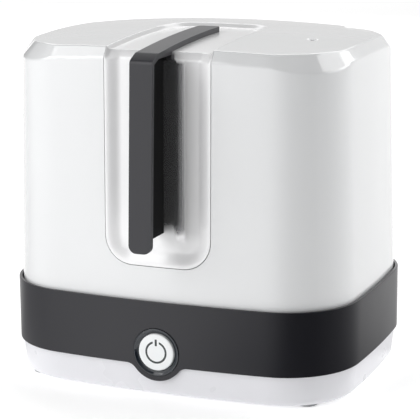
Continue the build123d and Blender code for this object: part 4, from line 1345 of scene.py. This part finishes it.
# Finish of each slot, and those of the dish and the web
FINISHES = {
    # Clear highlights under a polished skin, which ripple a little over large areas
    "white_hood": Finish("polished_moulded_polypropylene", "#E9EAEB", 0.12, ior=1.49, coat=1.0, coat_ior=1.6,
                         coat_roughness=0.05, grain=9.0, relief=0.006, tone=0.012, gloss_spread=0.02),
    # The same with softer highlights, a lighter white as painted light in the dish, a mirror's image of the grip
    # beside the web, and painted shade on the dish's floor, slopes and top leg
    "dish_painted_light_and_shade": MirroredDish("mirror_polypropylene_painted_light_and_shade", "#FBFBFC", 0.17, ior=1.49, coat=0.5, coat_ior=1.6,
                               coat_roughness=0.3, grain=9.0, relief=0.004, tone=0.012, gloss_spread=0.02),
    # Broad soft highlights of a plainer mould
    "white_base": Finish("satin_moulded_polypropylene", "#E6E6EA", 0.28, ior=1.49, grain=5.0, relief=0.006,
                         tone=0.015),
    # An even satin white with one broad highlight
    "white_button": Finish("satin_moulded_white_abs", "#F2F4F5", 0.3, ior=1.53, grain=1.2, relief=0.004, tone=0.01),
    # Long dull highlights broken by a spark texture, drawn at 0.9 mm so that it shows
    "dark_band": Finish("spark_textured_charcoal_abs", "#1F1F25", 0.3, grain=0.9, relief=0.004, tone=0.08,
                        gloss_spread=0.04),
    # A dull charcoal grey, lighter where it faces the lights
    "dark_handle": Finish("matt_moulded_charcoal_abs", "#2B2B30", 0.42, grain=1.4, relief=0.005, tone=0.08,
                          gloss_spread=0.04),
    # Nearly black: the grip's charcoal painted darker on the web as painted shade under the plate; rough, it reflects
    # next to nothing
    "web_painted_shade": Finish("charcoal_abs_painted_shade", "#0E0E10", 0.5, grain=1.4, relief=0.008, tone=0.15,
                       gloss_spread=0.04, specular=0.06),
    # Deep gloss with sharp small highlights along the ring's dished front
    "dark_gloss_ring": Finish("smoked_moulded_polycarbonate", "#20262E", 0.07, ior=1.53, coat=0.6, grain=6.0,
                              relief=0.003, tone=0.1),
    # A flat dark grey line
    "symbol_ink": Finish("cured_printing_ink", "#343A3B", 0.4, grain=0.8, relief=0.002, tone=0.05),
    # A slightly waxy white and grey without clear highlights
    "light_inner": Finish("natural_moulded_polypropylene", "#E6E8E8", 0.36, ior=1.49, grain=1.1, relief=0.005),
    "grey_rack": Finish("grey_moulded_polypropylene", "#BFC4C9", 0.38, ior=1.49, grain=1.1, relief=0.005,
                        tone=0.03),
    # Highlights drawn out across the brushed or rolled grain, duller on the zinc
    "stainless": Finish("brushed_stainless_steel", "#C6C5C2", 0.26, Texture.BRUSHED, metallic=1.0, grain=0.5,
                        relief=0.006, tone=0.06),
    "zinc_steel": Finish("zinc_plated_rolled_steel", "#BFC2C6", 0.32, Texture.BRUSHED, metallic=1.0, grain=0.7,
                         tone=0.1),
    # A dull brownish metal, patchy from the heat
    "element_sheath": Finish("drawn_steel_sheath", "#8E8B86", 0.45, metallic=1.0, grain=0.9, relief=0.006,
                             tone=0.25),
    # Clean bright metal
    "terminal_steel": Finish("stamped_nickel_plated_steel", "#B9B7AF", 0.3, metallic=1.0, relief=0.003, tone=0.08),
    # Brown-black, faintly speckled
    "thermostat_case": Finish("pressed_phenolic", "#221F1E", 0.45, grain=0.9, relief=0.008, tone=0.15),
    # Cream threads 0.6 mm apart with darker gaps
    "fuse_sleeve": Finish("braided_glass_sleeve", "#E2DCCB", 0.75, Texture.WOVEN, grain=0.6, relief=0.05,
                          second="#B9B09A"),
    # Soft off-whites with a weak sheen
    "lead_insulation": Finish("extruded_silicone", "#DAD7CF", 0.5, grain=1.5, tone=0.04),
    "block_nylon": Finish("moulded_nylon", "#E6E2D5", 0.42, grain=1.2, relief=0.006, tone=0.05),
    # Deadened highlights of rubber
    "gland_rubber": Finish("moulded_black_rubber", "#191919", 0.6, grain=0.9, relief=0.01, tone=0.15),
    "seal_rubber": Finish("moulded_red_silicone", "#B5503E", 0.5, grain=1.1, relief=0.006, tone=0.08),
    "foot_rubber": Finish("moulded_grey_rubber", "#9DA0A2", 0.6, grain=0.9, relief=0.012, tone=0.08),
    # Green solder mask with lighter copper tracks under it, drawn 0.9 mm apart so that they show
    "circuit_board": Finish("solder_masked_glass_epoxy", "#1C6B3C", 0.3, Texture.TRACES, grain=0.9, relief=0.03,
                            second="#2E8A50"),
    # Plain semi-gloss boxes
    "relay_case": Finish("moulded_blue_polyester", "#1F3C74", 0.35, grain=1.1, relief=0.005, tone=0.05),
    "switch_case": Finish("moulded_black_nylon", "#1D1D1E", 0.45, grain=0.9, relief=0.006, tone=0.1),
    # Glassy, with small bright highlights
    "lamp_lens": Finish("cast_epoxy_lens", "#DDEBFA", 0.08, coat=0.4, grain=4.0, relief=0.002),
    "clear_stem": Finish("moulded_acrylic", "#E4E7E9", 0.2, ior=1.49, grain=3.0, relief=0.003),
}


# Studio


@dataclass(frozen=True)
class SoftBox:
    """Rectangular soft light that faces the object.

    Its place is given by the direction round the object (0 in front, 90 at the right) and upwards, in
    degrees, and by its distance. Lengths are in metres and the power in watts.
    """

    name: str
    around: float
    up: float
    away: float
    width: float
    height: float
    power: float

    def place(self) -> Vector:
        """Its middle, seen from the point it faces."""
        around, up = math.radians(self.around), math.radians(self.up)
        return self.away * Vector((math.cos(up) * math.sin(around), -math.cos(up) * math.cos(around), math.sin(up)))


@dataclass
class Studio:
    """Pale floor, graduated paper, soft lights and the photograph's camera. Lengths are in metres."""

    eye: tuple = (546.78, -1327.17, 464.32)      # in millimetres, as the pieces
    yaw: float = 22.38           # in degrees
    pitch: float = 13.01
    roll: float = -0.45
    focal_pixels: float = 1708.147
    image_width: int = 420       # in pixels
    sensor: float = 36.0         # in millimetres
    clip_end: float = 50.0
    floor_half: float = 6.0
    floor_colour: str = "#F6F6F6"
    floor_roughness: float = 0.9
    floor_glow: float = 0.36     # lifts the background to white
    world_glow: float = 0.197
    tent_inner: float = 0.172    # radius at which its floor ring begins
    tent_radius: float = 0.36
    tent_foot: float = 0.0006
    tent_height: float = 0.292
    tent_peak: float = 4.0       # radiance at the ramp's white
    tent_columns: int = 96
    # Direction in degrees, 0 in front and 90 at the right, and radiance
    tent_ramp: tuple = (
        (-120, 1.2), (-85, 0.45), (-55, 0.8), (-30, 1.25), (-8, 1.2), (12, 0.57), (35, 0.0), (60, 0.0),
        (85, 0.16), (110, 0.44), (135, 0.75), (160, 1.0), (178, 1.82),
    )
    aim: tuple = (0.0, 0.0, 0.15)        # point that the soft boxes face
    boxes: tuple = (
        SoftBox("front_left_box", -38, 22, 1.9, 1.4, 1.5, 14.6),
        SoftBox("high_left_box", -52, 38, 1.6, 1.2, 1.2, 7.6),
        SoftBox("left_box", -80, 15, 1.5, 1.2, 1.2, 0.6),
        SoftBox("right_rear_box", 115, 18, 1.6, 1.2, 1.4, 8.5),
        SoftBox("high_right_rear_box", 135, 38, 1.7, 1.2, 1.2, 8.8),
        SoftBox("rear_wall", 180, 24, 2.3, 4.6, 2.0, 15.4),
        SoftBox("top_box", 0, 88, 1.6, 1.4, 1.2, 0.8),
    )
    backdrop: SoftBox = SoftBox("backdrop_box", 0, 90, 2.0, 3.0, 2.4, 30.6)
    backdrop_aim: tuple = (-1.2, 3.0, 0.0)       # on the floor behind the object

    def camera(self) -> None:
        """Camera at the photograph's place.

        Its axes come from the yaw round Z, the pitch down and the roll round its own view.
        """
        yaw, pitch, roll = (math.radians(a) for a in (self.yaw, self.pitch, self.roll))
        back = Vector((math.sin(yaw) * math.cos(pitch), -math.cos(yaw) * math.cos(pitch), math.sin(pitch)))
        right = Vector((math.cos(yaw), math.sin(yaw), 0))
        up = back.cross(right)
        turned = math.cos(roll) * right + math.sin(roll) * up
        risen = -math.sin(roll) * right + math.cos(roll) * up
        data = bpy.data.cameras.new("photo_camera")
        data.sensor_fit = "HORIZONTAL"
        data.sensor_width = self.sensor
        data.lens = self.focal_pixels * self.sensor / self.image_width
        data.clip_end = self.clip_end
        camera = bpy.data.objects.new("photo_camera", data)
        bpy.context.scene.collection.objects.link(camera)
        place = Vector(self.eye) + Vector((0, MIDDLE_Y, 0))
        camera.matrix_world = Matrix((turned, risen, back)).transposed().to_4x4()
        camera.location = place * MM
        bpy.context.scene.camera = camera

    def light(self, box: SoftBox, aim: tuple) -> None:
        """Adds a soft light.

        Args:
            box: The light.
            aim: Point it faces.
        """
        data = bpy.data.lights.new(box.name, "AREA")
        data.shape = "RECTANGLE"
        data.size, data.size_y = box.width, box.height
        data.energy = box.power
        lamp = bpy.data.objects.new(box.name, data)
        bpy.context.scene.collection.objects.link(lamp)
        lamp.location = Vector(aim) + box.place()
        lamp.rotation_euler = (-box.place()).to_track_quat("-Z", "Y").to_euler()

    def paper(self, name: str, sheet: Sheet, material: bpy.types.Material) -> bpy.types.Object:
        """A sheet of paper that isn't part of the object.

        Args:
            name: Its name.
            sheet: Its grid, in metres.
            material: Its finish.
        Returns:
            The object.
        """
        mesh = bpy.data.meshes.new(name)
        mesh.from_pydata(sheet.points.reshape(-1, 3), [], sheet.cells(0).tolist())
        mesh.materials.append(material)
        paper = bpy.data.objects.new(name, mesh)
        bpy.context.scene.collection.objects.link(paper)
        return paper

    def floor(self) -> None:
        """Plain pale floor that glows a little."""
        x, y = np.meshgrid([-self.floor_half, self.floor_half], [-self.floor_half, self.floor_half])
        made = bpy.data.materials.new("pale_matt_paper")
        made.use_nodes = True
        shader = made.node_tree.nodes["Principled BSDF"]
        shader.inputs["Base Color"].default_value = linear(self.floor_colour)
        shader.inputs["Roughness"].default_value = self.floor_roughness
        shader.inputs["Emission Color"].default_value = (1.0, 1.0, 1.0, 1.0)
        shader.inputs["Emission Strength"].default_value = self.floor_glow
        self.paper("floor", Sheet(np.stack([x, y, 0 * x], -1)), made)

    def tent(self) -> None:
        """Graduated paper on the floor and round the object that only reflections see.

        Its brightness is a ramp over the direction round the object, from the left over the front to
        the right and the back.
        """
        start, end = self.tent_ramp[0][0], self.tent_ramp[-1][0]
        turn = np.radians(np.linspace(start, end, self.tent_columns))
        radius = np.array([self.tent_inner, self.tent_radius, self.tent_radius])[:, None]
        level = np.array([self.tent_foot, self.tent_foot, self.tent_height])[:, None]
        made = bpy.data.materials.new("graduated_paper")
        made.use_nodes = True
        tree = made.node_tree
        tree.nodes.clear()
        place = add_node(tree, "TexCoord").outputs["Object"]
        axes = add_node(tree, "SeparateXYZ", {0: place}).outputs
        front = add_node(tree, "Math", {0: axes["Y"], 1: -1.0}, operation="MULTIPLY").outputs[0]
        around = add_node(tree, "Math", {0: axes["X"], 1: front}, operation="ARCTAN2").outputs[0]
        share = add_node(tree, "MapRange", {
            "Value": around, "From Min": float(turn[0]), "From Max": float(turn[-1]),
        })
        ramp = add_node(tree, "ValToRGB", {"Fac": share.outputs[0]})
        fill_ramp(ramp, [((a - start) / (end - start), radiance / self.tent_peak) for a, radiance in self.tent_ramp])
        glow = add_node(tree, "Emission", {"Color": ramp.outputs[0], "Strength": self.tent_peak})
        add_node(tree, "OutputMaterial", {"Surface": glow.outputs[0]})
        points = np.stack(np.broadcast_arrays(radius * np.sin(turn), -radius * np.cos(turn), level), -1)
        tent = self.paper("tent", Sheet(points), made)
        tent.visible_camera = tent.visible_diffuse = tent.visible_shadow = tent.visible_transmission = False

    def build(self) -> None:
        """Sets up the camera, the papers, the surrounding light and the soft boxes."""
        self.camera()
        self.floor()
        bpy.context.scene.view_settings.view_transform = "Standard"
        world = bpy.data.worlds.new("studio")
        world.use_nodes = True
        background = world.node_tree.nodes["Background"].inputs
        background["Color"].default_value = linear("#FFFFFF")
        background["Strength"].default_value = self.world_glow
        bpy.context.scene.world = world
        self.tent()
        for box in self.boxes:
            self.light(box, self.aim)
        self.light(self.backdrop, self.backdrop_aim)


def dress_nodes() -> None:
    """Gives every CAD node the finish of its slot."""
    slots = {row["node"]: row["material_slot"] for row in frame["record"]["subparts"]}
    for name, node in frame["nodes"].items():
        node.data.materials.clear()
        node.data.materials.append(FINISHES[slots[name]].material())


def main() -> None:
    """Builds the studio and the pieces in order."""
    logging.basicConfig(level=logging.INFO, format="%(name)s: %(message)s")
    Studio().build()
    dress_nodes()
    hood = Hood()
    hood.build()
    Handle(hood.dish).build()
    Band().build()
    Button().build()


if __name__ == "__main__":
    main()
